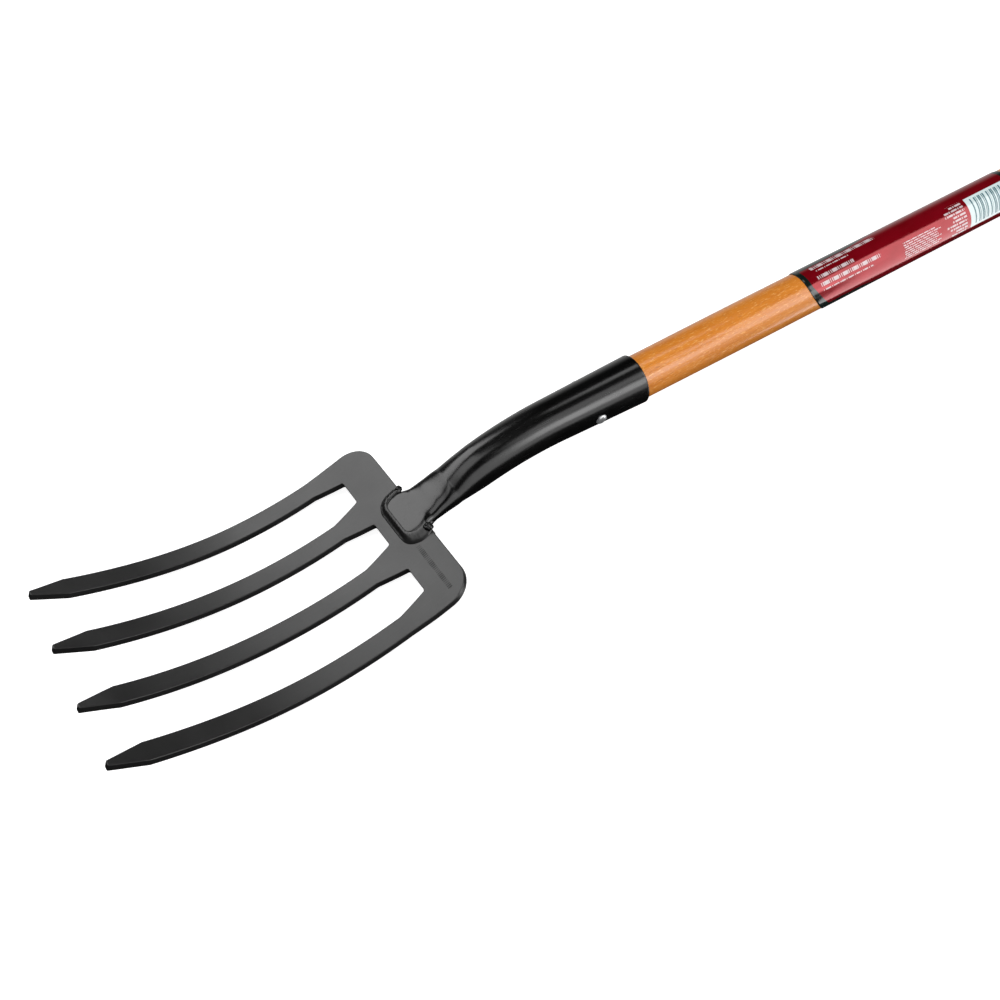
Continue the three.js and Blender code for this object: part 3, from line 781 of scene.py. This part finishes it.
def distance_to(points, outline):
    nearest = np.full(len(points), 1e9)
    for p in outline:
        nearest = np.minimum(nearest, np.hypot(points[:, 0] - p[0], points[:, 1] - p[1]))
    return nearest


def filled(outline, step):
    """Even triangles over an outline: extra inner points, and faces over outline points then those."""
    s = np.arange(outline[:, 0].min() + step / 2, outline[:, 0].max(), step)
    y = np.arange(outline[:, 1].min() + step / 2, outline[:, 1].max(), step)
    grid = np.array([(a, b) for a in s for b in y])
    grid = grid[inside_outline(grid, outline)]
    grid = grid[distance_to(grid, outline) > step * 0.7]
    points = np.concatenate([outline, grid])
    loop = list(range(len(outline)))
    edges = [(i, (i + 1) % len(outline)) for i in loop]
    verts, _, faces, originals, _, _ = delaunay_2d_cdt([Vector(p) for p in points], edges, [loop], 1, 1e-7)
    source = [o[0] if o else -1 for o in originals]
    if min(source) < 0 or len(verts) != len(points):
        raise ValueError("the outline crosses itself")
    return grid, [tuple(source[i] for i in face) for face in faces]


def head_profile():
    """(inset, up) pairs from the top face over the rounded edges to the bottom face."""
    top = [(EDGE_ROUND + 0.35, 0.0)]
    for angle in np.linspace(0, math.pi / 2, 5):
        top.append((EDGE_ROUND * (1 - math.sin(angle)), -EDGE_ROUND * (1 - math.cos(angle))))
    side = [(0.0, -EDGE_ROUND - SIDE_BAND)]
    mirrored = [(inset, -HEAD_THICKNESS - up) for inset, up in reversed(top + side)]
    return top + side + mirrored


def lift(s, y):
    """How far above the even curve a point of the head lies."""
    amount = np.zeros_like(s)
    rise = share(s, LIFT_FROM, LIFT_TO)
    rise = rise * rise * (3 - 2 * rise)
    fall = share(s, SHOULDER_AT, HEAD_LENGTH) ** TIP_DROP_POWER
    for position, up, down in zip(TINE_POSITIONS, TINE_LIFT, TIP_DROP):
        near = np.abs(y / TINE_SPACING_TIP - position) < 0.45
        amount = np.where(near, up * rise - down * fall, amount)
    return amount


def make_head():
    outline = rounded_outline(head_corners())
    along = np.roll(outline, -1, axis=0) - np.roll(outline, 1, axis=0)
    along /= np.linalg.norm(along, axis=1)[:, None]
    inward = np.stack([-along[:, 1], along[:, 0]], axis=1)
    if inside_outline(outline + inward * EDGE_ROUND, outline).mean() < 0.5:
        inward = -inward
    profile = head_profile()
    flat = [outline + inward * inset for inset, _ in profile]
    up = [np.full(len(outline), level) for _, level in profile]
    count, last = len(outline), len(profile) - 1
    faces = ring_faces(flat)
    total = len(profile) * count
    for ring, level, flip in ((0, 0.0, False), (last, -HEAD_THICKNESS, True)):
        grid, triangles = filled(flat[ring], HEAD_MESH_STEP)
        names = [ring * count + k for k in range(count)] + [total + k for k in range(len(grid))]
        for triangle in triangles:
            named = [names[k] for k in triangle]
            faces.append(named[::-1] if flip else named)
        flat.append(grid)
        up.append(np.full(len(grid), level))
        total += len(grid)
    flat, up = np.concatenate(flat), np.concatenate(up)
    points = head_points(flat[:, 0], flat[:, 1], up + lift(flat[:, 0], flat[:, 1]))
    piece_from("head_plate", points, faces, "head_paint", ["fork_head"], flat * MM)


make_head()


# ---- socket tube
def between(pairs, at):
    """A smooth curve through (place, value) pairs, level beyond its ends."""
    x, y = np.array(pairs, float).T
    slopes = np.gradient(y, x)
    slopes[0] = slopes[-1] = 0
    i = int(np.clip(np.searchsorted(x, at) - 1, 0, len(x) - 2))
    t = share(at, x[i], x[i + 1])
    rise = (3 - 2 * t) * t * t
    bow = (x[i + 1] - x[i]) * t * (1 - t) * ((1 - t) * slopes[i] - t * slopes[i + 1])
    return float(lerp(y[i], y[i + 1], rise) + bow)


def socket_radius(distance):
    places = [0, SOCKET_STRAIGHT, PRESS_START]
    radii = [SOCKET_MOUTH_RADIUS, SOCKET_BEND_END_RADIUS, SOCKET_NECK_RADIUS]
    return float(np.interp(distance, places, radii))


def foot_half_width(s):
    flare = min(0.0, s - FLARE_LENGTH) * (FOOT_FLARE / FLARE_LENGTH)
    past = max(0.0, s - (FOOT_LENGTH - FOOT_CORNER_RADIUS))
    inset = FOOT_CORNER_RADIUS - math.sqrt(max(0.0, FOOT_CORNER_RADIUS**2 - past**2))
    return FOOT_HALF_WIDTH - inset + flare


def soft_limit(value, limit, blend):
    """value held within +-limit, easing over blend instead of turning a sharp corner."""
    size = np.abs(value)
    eased = -blend * np.logaddexp(-size / blend, -limit / blend)
    rest = -blend * np.logaddexp(0, -limit / blend)
    return np.sign(value) * (eased - rest)


SOCKET_SIDES = 160
BORE_STEP = 4.0
SOCKET_ANGLES = np.arange(SOCKET_SIDES) * TAU / SOCKET_SIDES


def socket_half_width(distance):
    if distance > FOOT_AT:
        return foot_half_width(distance - FOOT_AT)
    if distance < PRESS_START:
        return socket_radius(distance)
    sides = [(at, SOCKET_NECK_RADIUS + gain) for at, gain in WIDENING]
    return between(sides + [(FOOT_AT, FOOT_HALF_WIDTH - FOOT_FLARE)], distance)


def socket_ring(distance, inset):
    """The tube's section: an ellipse that eases into a flat above and below where it is pressed."""
    pressed = share(distance, PRESS_START, FOOT_AT)
    squared = share(distance, SHOULDERS_START, FOOT_AT)
    wide = socket_half_width(distance) - inset
    flat = socket_radius(distance)
    if distance > PRESSED_HALF_HEIGHTS[0][0]:
        flat = between(PRESSED_HALF_HEIGHTS, distance)
    tall = flat * lerp(1, SQUARE_RATIO, squared)
    up = (tall - inset) * np.sin(SOCKET_ANGLES)
    if squared > 0:
        up = soft_limit(up, flat - inset, between(SHOULDER_SOFTNESS, distance) * (tall - flat))
    return beside(socket_line(distance), wide * np.cos(SOCKET_ANGLES), up + FOOT_OFFSET * pressed)


def socket_stations():
    """(distance, inset) of each ring: along the bore, round the mouth's lip, and along the outside."""
    stations = []
    for distance in np.arange(FOOT_AT - BORE_STEP, 1.0, -BORE_STEP):
        wall = lerp(MOUTH_WALL, FOOT_WALL, min(1, distance / FOOT_AT))
        stations.append((distance, wall))
    lip = MOUTH_WALL / 2
    for angle in np.linspace(0, math.pi, 9):
        stations.append((lip * (1 - math.sin(angle)), lip * (1 + math.cos(angle))))
    straight = FOOT_LENGTH - FOOT_CORNER_RADIUS
    corner = straight + FOOT_CORNER_RADIUS * np.sin(np.linspace(0, math.pi / 2, 16))
    outside = np.concatenate([
        np.arange(2, PRESS_START, 2.0),
        np.arange(PRESS_START, FOOT_AT, 1.0),
        FOOT_AT + np.arange(0, straight, 0.75),
        FOOT_AT + corner[:-1],
    ])
    stations += [(distance, 0.0) for distance in outside]
    end = FOOT_AT + FOOT_LENGTH - FOOT_EDGE_ROUND
    for angle in np.linspace(math.radians(20), math.pi / 2, 5):
        stations.append((end + FOOT_EDGE_ROUND * math.sin(angle), FOOT_EDGE_ROUND * (1 - math.cos(angle))))
    return stations


def make_socket():
    stations = socket_stations()
    rings = [socket_ring(distance, inset) for distance, inset in stations]
    uv = loft_uv(SOCKET_SIDES, [distance for distance, _ in stations])
    piece = piece_from("socket_tube_painted", *loft(rings), "socket_paint", ["socket_tube"], uv)
    cut_away(piece, slot_rings())
    sharpen(piece, 40)


def slot_rings():
    """The plate's room in the flattened foot."""
    side, top, bottom = SLOT_HALF_WIDTH, SLOT_GAP, -HEAD_THICKNESS - SLOT_GAP
    across, up = (-side, side, side, -side), (top, top, bottom, bottom)
    return [head_points(s, across, up) for s in (-FIT_GAP, HEAD_FLAT, ROOT_AT)]


make_socket()


# ---- welds
def weld_route():
    """Stations round the foot: place and outward direction in (s, y)."""
    corner_at = FOOT_LENGTH - FOOT_CORNER_RADIUS
    side_y = FOOT_HALF_WIDTH - FOOT_CORNER_RADIUS
    half = [(s, foot_half_width(max(s, 0.0)), 0.0, 1.0) for s in np.arange(-0.4, corner_at, 0.5)]
    for angle in np.linspace(0, math.pi / 2, 34):
        out_s, out_y = math.sin(angle), math.cos(angle)
        s, y = corner_at + FOOT_CORNER_RADIUS * out_s, side_y + FOOT_CORNER_RADIUS * out_y
        half.append((s, y, out_s, out_y))
    half += [(FOOT_LENGTH, y, 1.0, 0.0) for y in np.linspace(side_y, 0, 26)[1:-1]]
    return half + [(FOOT_LENGTH, 0.0, 1.0, 0.0)] + [(s, -y, a, -b) for s, y, a, b in half[::-1]]


# the bead's section as (out from the foot, up from the plate)
WELD_SECTION = [
    (-3.0, 2.9), (-2.3, 3.2), (-1.6, 3.42), (-0.9, 3.52), (-0.3, 3.42), (0.5, 2.9), (1.2, 1.95),
    (1.9, 1.05), (2.7, 0.45), (3.7, 0.16), (4.5, 0.02), (4.4, -0.25), (-3.0, -0.25),
]
WIDE_WELD_SECTION = [  # on the -Y side, where the torch stayed longer
    (-3.0, 2.9), (-2.3, 3.1), (-1.5, 3.15), (-0.5, 3.05), (0.6, 2.85), (1.8, 2.6), (3.0, 2.3),
    (4.2, 1.9), (5.3, 1.3), (6.1, 0.6), (6.6, 0.02), (6.5, -0.25), (-3.0, -0.25),
]
RIPPLE_PITCH = 2.3


def weld_ripple(travelled, y):
    """Uneven ripples, one every RIPPLE_PITCH, that are taller on the +Y side."""
    far = 0.5 + 0.5 * math.tanh(y / 9)
    return (0.12 + 0.32 * far) * math.sin(travelled * TAU / RIPPLE_PITCH + 1.4 * math.sin(travelled * 0.9))


def make_weld(name, node, face, seed):
    """A bead round the foot, on the plate's upper face (1) or its lower one (-1)."""
    rings = []
    travelled, last = 0.0, None
    for s, y, out_s, out_y in weld_route():
        if last is not None:
            travelled += math.hypot(s - last[0], y - last[1])
        last = (s, y)
        ripple = weld_ripple(travelled, y)
        wander = noise.noise(Vector((travelled * 0.16, seed, 0.0)))
        width = share(-out_y, 0.2, 0.8)
        ring = []
        for out, up in lerp(np.array(WELD_SECTION), np.array(WIDE_WELD_SECTION), width):
            on_face = share(out, -2.6, -0.6) * share(out, 4.6, 3.1)
            lump = noise.noise(Vector((travelled * 0.5, out * 0.6, seed + 3.0)))
            grow = on_face * (ripple * 0.5 + 0.35 * wander + 0.22 * lump)
            reach = out + 0.4 * wander * (out > 0) + grow * 0.5
            height = up + grow * 0.6 if up > 0 else up
            ring.append((s + reach * out_s, y + reach * out_y, height))
        along, across, height = np.array(ring).T
        rings.append(head_points(along, across, height if face > 0 else -HEAD_THICKNESS - height))
    piece_from(name, *loft(rings), "head_paint", [node])


make_weld("weld_bead_top", "socket_weld_top", 1, 1.0)
make_weld("weld_bead_bottom", "socket_weld_bottom", -1, 7.0)


def make_blob(name, centre, size, seed):
    """A lump of weld metal: a sphere pushed in and out by noise, at (s, y, up) on the head."""
    rings = []
    for tilt in np.linspace(0.04, math.pi - 0.04, 22):
        ring = []
        for turn in np.arange(36) * TAU / 36:
            way = Vector((math.sin(tilt) * math.cos(turn), math.sin(tilt) * math.sin(turn), math.cos(tilt)))
            lump = noise.noise(way * 2.1 + Vector((seed, 0, 0)))
            grain = noise.noise(way * 5 + Vector((0, seed, 0)))
            radius = 1 + 0.22 * lump + 0.1 * grain
            ring.append([c + half * radius * w for c, half, w in zip(centre, size, way)])
        rings.append(head_points(*np.array(ring).T))
    piece_from(name, *loft(rings), "socket_paint", [])


make_blob("weld_stop_near", (0.6, -23.5, 1.6), (3.6, 3.6, 3.0), 2.0)
make_blob("weld_stop_far", (0.2, 22.8, 1.2), (2.6, 2.8, 2.2), 5.0)


# ---- shaft and wrap
WOOD_SIDES = 96
WRAP_SIDES = 128


def make_turned(name, corners, node, step, axis="x", at=(0, 0, 0)):
    """A turned wooden piece through (along, radius, rounding) corners, with a ring at every step."""
    profile = finely(rounded_profile(corners, 5), step)
    solid = loft(turned(profile, WOOD_SIDES, axis, at))
    uv = loft_uv(WOOD_SIDES, [along for along, _ in profile])
    piece_from(name, *solid, "varnished_wood", [node], uv, sharp=50)


SLEEVE_TENON = YOKE_SLEEVE_RADIUS - YOKE_WALL - FIT_GAP
SHAFT_SHOULDER = YOKE_START - FIT_GAP
make_turned(
    "shaft_wood",
    [
        (-TENON_DEPTH, AXIS, 0), (-TENON_DEPTH, TENON_END_RADIUS, 1.5), (-1.0, TENON_MOUTH_RADIUS - 0.1, 0.3),
        (FIT_GAP, SHAFT_NECK_RADIUS - 0.15, 0.2), (SHAFT_NECK_LENGTH, SHAFT_RADIUS, 20),
        (SHAFT_SHOULDER, SHAFT_RADIUS, 0.6), (SHAFT_SHOULDER, SLEEVE_TENON, 0),
        (SHAFT_END, SLEEVE_TENON, 2.5), (SHAFT_END, AXIS, 0),
    ],
    "handle_shaft", 6,
)


def wrap_lateness(angle):
    """How far past its tip the wrap starts, by degrees up from the -Y side: its edge is slanted."""
    return WRAP_SLANT * ((1 - np.cos(np.radians(angle - WRAP_TIP))) / 2) ** WRAP_SLANT_POWER


def make_wrap():
    """A thin sleeve with eased edges, whose front one is slanted."""
    inner, outer = SHAFT_RADIUS + 0.02, SHAFT_RADIUS + FIT_GAP + WRAP_THICKNESS
    start, end = WRAP_START, WRAP_START + WRAP_LENGTH
    corners = [
        (start + 1, inner, 0), (start, inner, 0),
        (start, outer - WRAP_EDGE, WRAP_EDGE), (start + 1.2, outer, 0.6),
        (end - 1.2, outer, 0.6), (end, outer - WRAP_EDGE, WRAP_EDGE),
        (end, inner, 0), (end - 1, inner, 0),
    ]
    profile = finely(rounded_profile(corners, 4), 6)
    rings = turned(profile, WRAP_SIDES)
    late = wrap_lateness(180 - np.arange(WRAP_SIDES) * 360 / WRAP_SIDES)
    for (along, _), ring in zip(profile, rings):
        ring[:, 0] += late * np.clip(1 - (along - start) / WRAP_SLANT, 0, 1)
    points = np.concatenate(rings)
    faces = ring_faces(rings, back_to_first=True)
    turn = np.tile(np.arange(WRAP_SIDES) / WRAP_SIDES, len(rings))
    uv = np.stack([points[:, 0] * MM, turn], axis=1)
    piece_from("wrap_printed", points, faces, "printed_wrap", ["wrap_label"], uv, sharp=50)


make_wrap()


# ---- rivets, rod and washers
def domed(reach, stem, head, height):
    """Half of a (along, radius) profile: a stem from the middle out to a domed head."""
    dome = []
    for angle in np.linspace(0, math.pi / 2, 9)[:-1]:
        dome.append((reach + height * math.sin(angle), head * math.cos(angle) ** 0.8))
    seat = reach - 0.05
    return [(seat, stem), (seat, head * 0.94), *dome, (reach + height, AXIS)]


def make_pin(name, node, reach, stem, head, height, at, turn=0.0):
    """A pin across the tool, with domed heads, turned round the tool's line by an angle."""
    half = domed(reach, stem, head, height + FIT_GAP)
    profile = [(-a, r) for a, r in half[::-1]] + half
    points, faces = loft(turned(profile, 40, "y"))
    x, y, z = points.T
    c, s = math.cos(turn), math.sin(turn)
    points = np.stack([x, y * c - z * s, y * s + z * c], axis=1) + np.array(at)
    piece_from(name, points, faces, "bright_steel", [node], sharp=55)


rivet_x, rivet_z, _ = socket_line(SOCKET_RIVET_AT)
make_pin(
    "rivet_socket", "socket_rivet", socket_radius(SOCKET_RIVET_AT), RIVET_RADIUS, RIVET_HEAD_RADIUS,
    RIVET_HEAD_HEIGHT, (rivet_x, 0, rivet_z), SOCKET_RIVET_TURN,
)
make_pin(
    "rivet_yoke", "yoke_rivet", YOKE_SLEEVE_RADIUS, RIVET_RADIUS, RIVET_HEAD_RADIUS,
    RIVET_HEAD_HEIGHT, (YOKE_RIVET_AT, 0, 0),
)
WASHER_FACE = EYE_CENTRE + EYE_HALF_THICKNESS + FIT_GAP
make_pin(
    "rod_grip", "grip_rod", WASHER_FACE + WASHER_THICKNESS, ROD_RADIUS, ROD_HEAD_RADIUS,
    ROD_HEAD_HEIGHT, (BAR_AT, 0, 0),
)


def make_washer(name, node, side):
    low, high = WASHER_FACE - FIT_GAP, WASHER_FACE + WASHER_THICKNESS
    bore = ROD_RADIUS + 0.1
    corners = [
        (low, bore, 0), (low, WASHER_RADIUS - 0.1, 0.1), (low + 0.4, WASHER_RADIUS, 0.25),
        (high, WASHER_RADIUS - 0.3, 0.35), (high, bore, 0),
    ]
    profile = [(side * a, r) for a, r in rounded_profile(corners, 4)]
    rings = turned(profile, 64, "y", (BAR_AT, 0, 0))
    faces = ring_faces(rings, back_to_first=True)
    piece_from(name, np.concatenate(rings), faces, "bright_steel", [node], sharp=50)


make_washer("washer_left", "rod_washer_left", 1)
make_washer("washer_right", "rod_washer_right", -1)


# ---- D-grip
def bezier(points, t):
    """Place and direction on a cubic curve through two ends, by its four points."""
    a, b, c, d = (np.array(p, float) for p in points)
    place = (1 - t) ** 3 * a + 3 * (1 - t) ** 2 * t * b + 3 * (1 - t) * t * t * c + t**3 * d
    way = 3 * (1 - t) ** 2 * (b - a) + 6 * (1 - t) * t * (c - b) + 3 * t * t * (d - c)
    return place, unit(way)


ARM_PATH = [  # a cubic curve's four points, as (along, to the side)
    (YOKE_START + 28, 8.5), (YOKE_START + 62, 11), (YOKE_START + 70, EYE_CENTRE + 1), (BAR_AT, EYE_CENTRE),
]
ARM_HALF_THICKNESS = ([0, 0.45, 1], [10, 7.2, EYE_HALF_THICKNESS])  # shares of the curve, and sizes there
ARM_HALF_HEIGHT = ([0, 0.5, 1], [YOKE_SLEEVE_RADIUS - 1, 15.5, 15])
YOKE_BORE_RADIUS = 17.45
YOKE_VOXEL = 0.8


def yoke_arm(side):
    path = [(along, side * out) for along, out in ARM_PATH]
    angles = np.arange(64) * TAU / 64
    rings = []
    for t in np.linspace(0, 1, 70):
        (x, y), (dx, dy) = bezier(path, t)
        across = np.interp(t, *ARM_HALF_THICKNESS) * np.cos(angles)
        up = np.interp(t, *ARM_HALF_HEIGHT) * np.sin(angles)
        rings.append(np.stack([x - dy * across, y + dx * across, up], axis=1))
    return loft(rings)


def yoke_eye(side):
    half = EYE_HALF_THICKNESS
    corners = [(-half, AXIS, 0), (-half, EYE_RADIUS, 1.2), (half, EYE_RADIUS, 4.0), (half, AXIS, 0)]
    profile = rounded_profile(corners, 8)
    rings = turned([(side * (EYE_CENTRE + a), r) for a, r in profile], 96, "y", (BAR_AT, 0, 0))
    return loft(rings)


def yoke_sleeve():
    start, end, radius = YOKE_START, YOKE_START + YOKE_SLEEVE_LENGTH, YOKE_SLEEVE_RADIUS
    corners = [(start, AXIS, 0), (start, radius, 0.5), (end, radius, 12), (end + 4, AXIS, 0)]
    return loft(turned(rounded_profile(corners, 8), 96))


def make_yoke():
    """Sleeve, arms and eyes, melted into one pressed piece and then hollowed."""
    parts = [yoke_sleeve()]
    for side in (1, -1):
        parts += [yoke_arm(side), yoke_eye(side)]
    points, faces, start = [], [], 0
    for part_points, part_faces in parts:
        points.append(part_points)
        faces += [tuple(i + start for i in face) for face in part_faces]
        start += len(part_points)
    piece = piece_from("yoke_pressed", np.concatenate(points), faces, "socket_paint", ["grip_yoke"])
    modify(piece, "REMESH", mode="VOXEL", voxel_size=YOKE_VOXEL * MM)
    modify(piece, "SMOOTH", factor=0.5, iterations=6)
    cut_away(piece, turned(plug(YOKE_START - 2, SHAFT_END + 1, YOKE_BORE_RADIUS), 96))
    for side in (1, -1):
        recess = plug(side * (EYE_INNER_FACE - 3), side * RECESS_END, EYE_RECESS_RADIUS)
        cut_away(piece, turned(recess, 64, "y", (BAR_AT, 0, 0)))
    for polygon in piece.data.polygons:
        polygon.use_smooth = True
    sharpen(piece, 45)


def plug(start, end, radius):
    """The profile of a plain cylinder."""
    return [(start, AXIS), (start, radius), (end, radius), (end, AXIS)]


make_yoke()

bar_end = RECESS_END - FIT_GAP
bar_shoulder = EYE_INNER_FACE - 1.5
bar_half = [
    (18, BAR_RADIUS - 0.5, 12), (34, BAR_RADIUS - 1.7, 6), (bar_shoulder - 3, BAR_END_RADIUS + 0.9, 2.5),
    (bar_shoulder, BAR_END_RADIUS, 1.0), (bar_end, BAR_END_RADIUS, 0.6), (bar_end, ROD_RADIUS + 0.1, 0),
]
make_turned(
    "bar_turned",
    [(-a, r, c) for a, r, c in bar_half[::-1]] + [(0, BAR_RADIUS, 14)] + bar_half,
    "grip_bar", 4, "y", (BAR_AT, 0, 0),
)


# ---- floor, light and background
FLOOR_HALF = 12  # m
FLOOR_DROP = 0.0006  # m, so that the tool's lowest points don't lie in the floor


def make_floor():
    """A pale floor that glows, and that only the camera sees."""
    mesh = bpy.data.meshes.new("floor")
    corners = [(x * FLOOR_HALF, y * FLOOR_HALF, 0) for x, y in ((-1, -1), (1, -1), (1, 1), (-1, 1))]
    mesh.from_pydata(corners, [], [(0, 1, 2, 3)])
    floor = add_object("floor", mesh)
    f = Finish("floor_pale", Base_Color=(0.62, 0.62, 0.62, 1), Roughness=0.9, Specular_IOR_Level=0)
    floor.data.materials.append(f.wire(Emission_Color=(1, 1, 1, 1), Emission_Strength=0.85))
    floor.visible_glossy = False
    floor.visible_diffuse = False
    floor.visible_shadow = False
    floor.location.z = -FLOOR_DROP


def direction_to(azimuth, elevation):
    """The direction at an azimuth from +X towards +Y and an elevation above the floor, in degrees."""
    azimuth, elevation = math.radians(azimuth), math.radians(elevation)
    flat = math.cos(elevation)
    return Vector((flat * math.cos(azimuth), flat * math.sin(azimuth), math.sin(elevation)))


def soft_box(name, aim, azimuth, elevation, size, radiance, roll=0, only_shines=False, only_fills=False):
    """A rectangular light that looks at a point of the tool from LIGHT_DISTANCE away."""
    data = bpy.data.lights.new(name, "AREA")
    data.shape = "RECTANGLE"
    data.size, data.size_y = size
    data.energy = radiance * 4 * size[0] * size[1]
    light = add_object(name, data)
    away = direction_to(azimuth, elevation)
    light.location = Vector(aim) + away * LIGHT_DISTANCE
    turn = away.to_track_quat("Z", "Y") @ Quaternion((0, 0, 1), math.radians(roll))
    light.rotation_euler = turn.to_euler()
    light.visible_camera = False
    light.visible_diffuse = not only_shines
    light.visible_glossy = not only_fills


LIGHT_DISTANCE = 1.6  # m
ROOM_LIGHT = 0.58  # for everything but reflections
BRIGHT_WALL = direction_to(62, -15)  # where the room that shows in reflections is brightest
WALL_FADE = (0.72, 0.97)  # cosines of the angles from there at which the wall is dark and bright
WALL_LIGHT = (0.012, 0.68)  # how bright it is then


def make_world():
    """An even white room; in reflections it is dark on the near side and white behind the tool."""
    world = bpy.data.worlds.new("studio")
    scene.world = world
    world.use_nodes = True
    world.cycles.sampling_method = "NONE"
    n = Nodes(world.node_tree)
    way = n.node("TexCoord", {}).outputs["Generated"]
    facing = n.node("VectorMath", {0: way, 1: BRIGHT_WALL}, operation="DOT_PRODUCT").outputs["Value"]
    reflected = n.span(facing, *WALL_FADE, *WALL_LIGHT)
    glossy = n.node("LightPath", {}).outputs["Is Glossy Ray"]
    background = n.tree.nodes["Background"].inputs
    n.feed(background["Color"], (1, 1, 1, 1))
    n.feed(background["Strength"], n.span(glossy, 0, 1, ROOM_LIGHT, reflected))


TUBE_PLACE = (-0.1, 0, 0.03)
HEAD_PLACE = (-0.3, 0, 0.02)
WRAP_PLACE = (0.187, 0, 0.027)
make_floor()
make_world()
soft_box("box_back", HEAD_PLACE, 110, 46, (1.25, 0.95), 2.9, only_shines=True)
soft_box("box_top", TUBE_PLACE, -90, 75, (1.0, 1.0), 1.2, only_fills=True)
soft_box("box_front", TUBE_PLACE, -64, 18, (0.92, 0.62), 3.4)
soft_box("box_front_wide", TUBE_PLACE, -80, 11, (1.25, 1.5), 1.5, roll=8, only_shines=True)
soft_box("box_front_top", TUBE_PLACE, -64, 46, (0.85, 0.5), 1.4)
soft_box("box_side", WRAP_PLACE, -42, 2, (0.84, 3.3), 3.2, only_shines=True)
soft_box("box_over_shaft", TUBE_PLACE, 12, 63, (0.36, 0.36), 2.2)
soft_box("box_over_head", TUBE_PLACE, -163, 68, (1.0, 0.75), 1.8)

scene.view_settings.view_transform = "Standard"
scene.view_settings.look = "None"
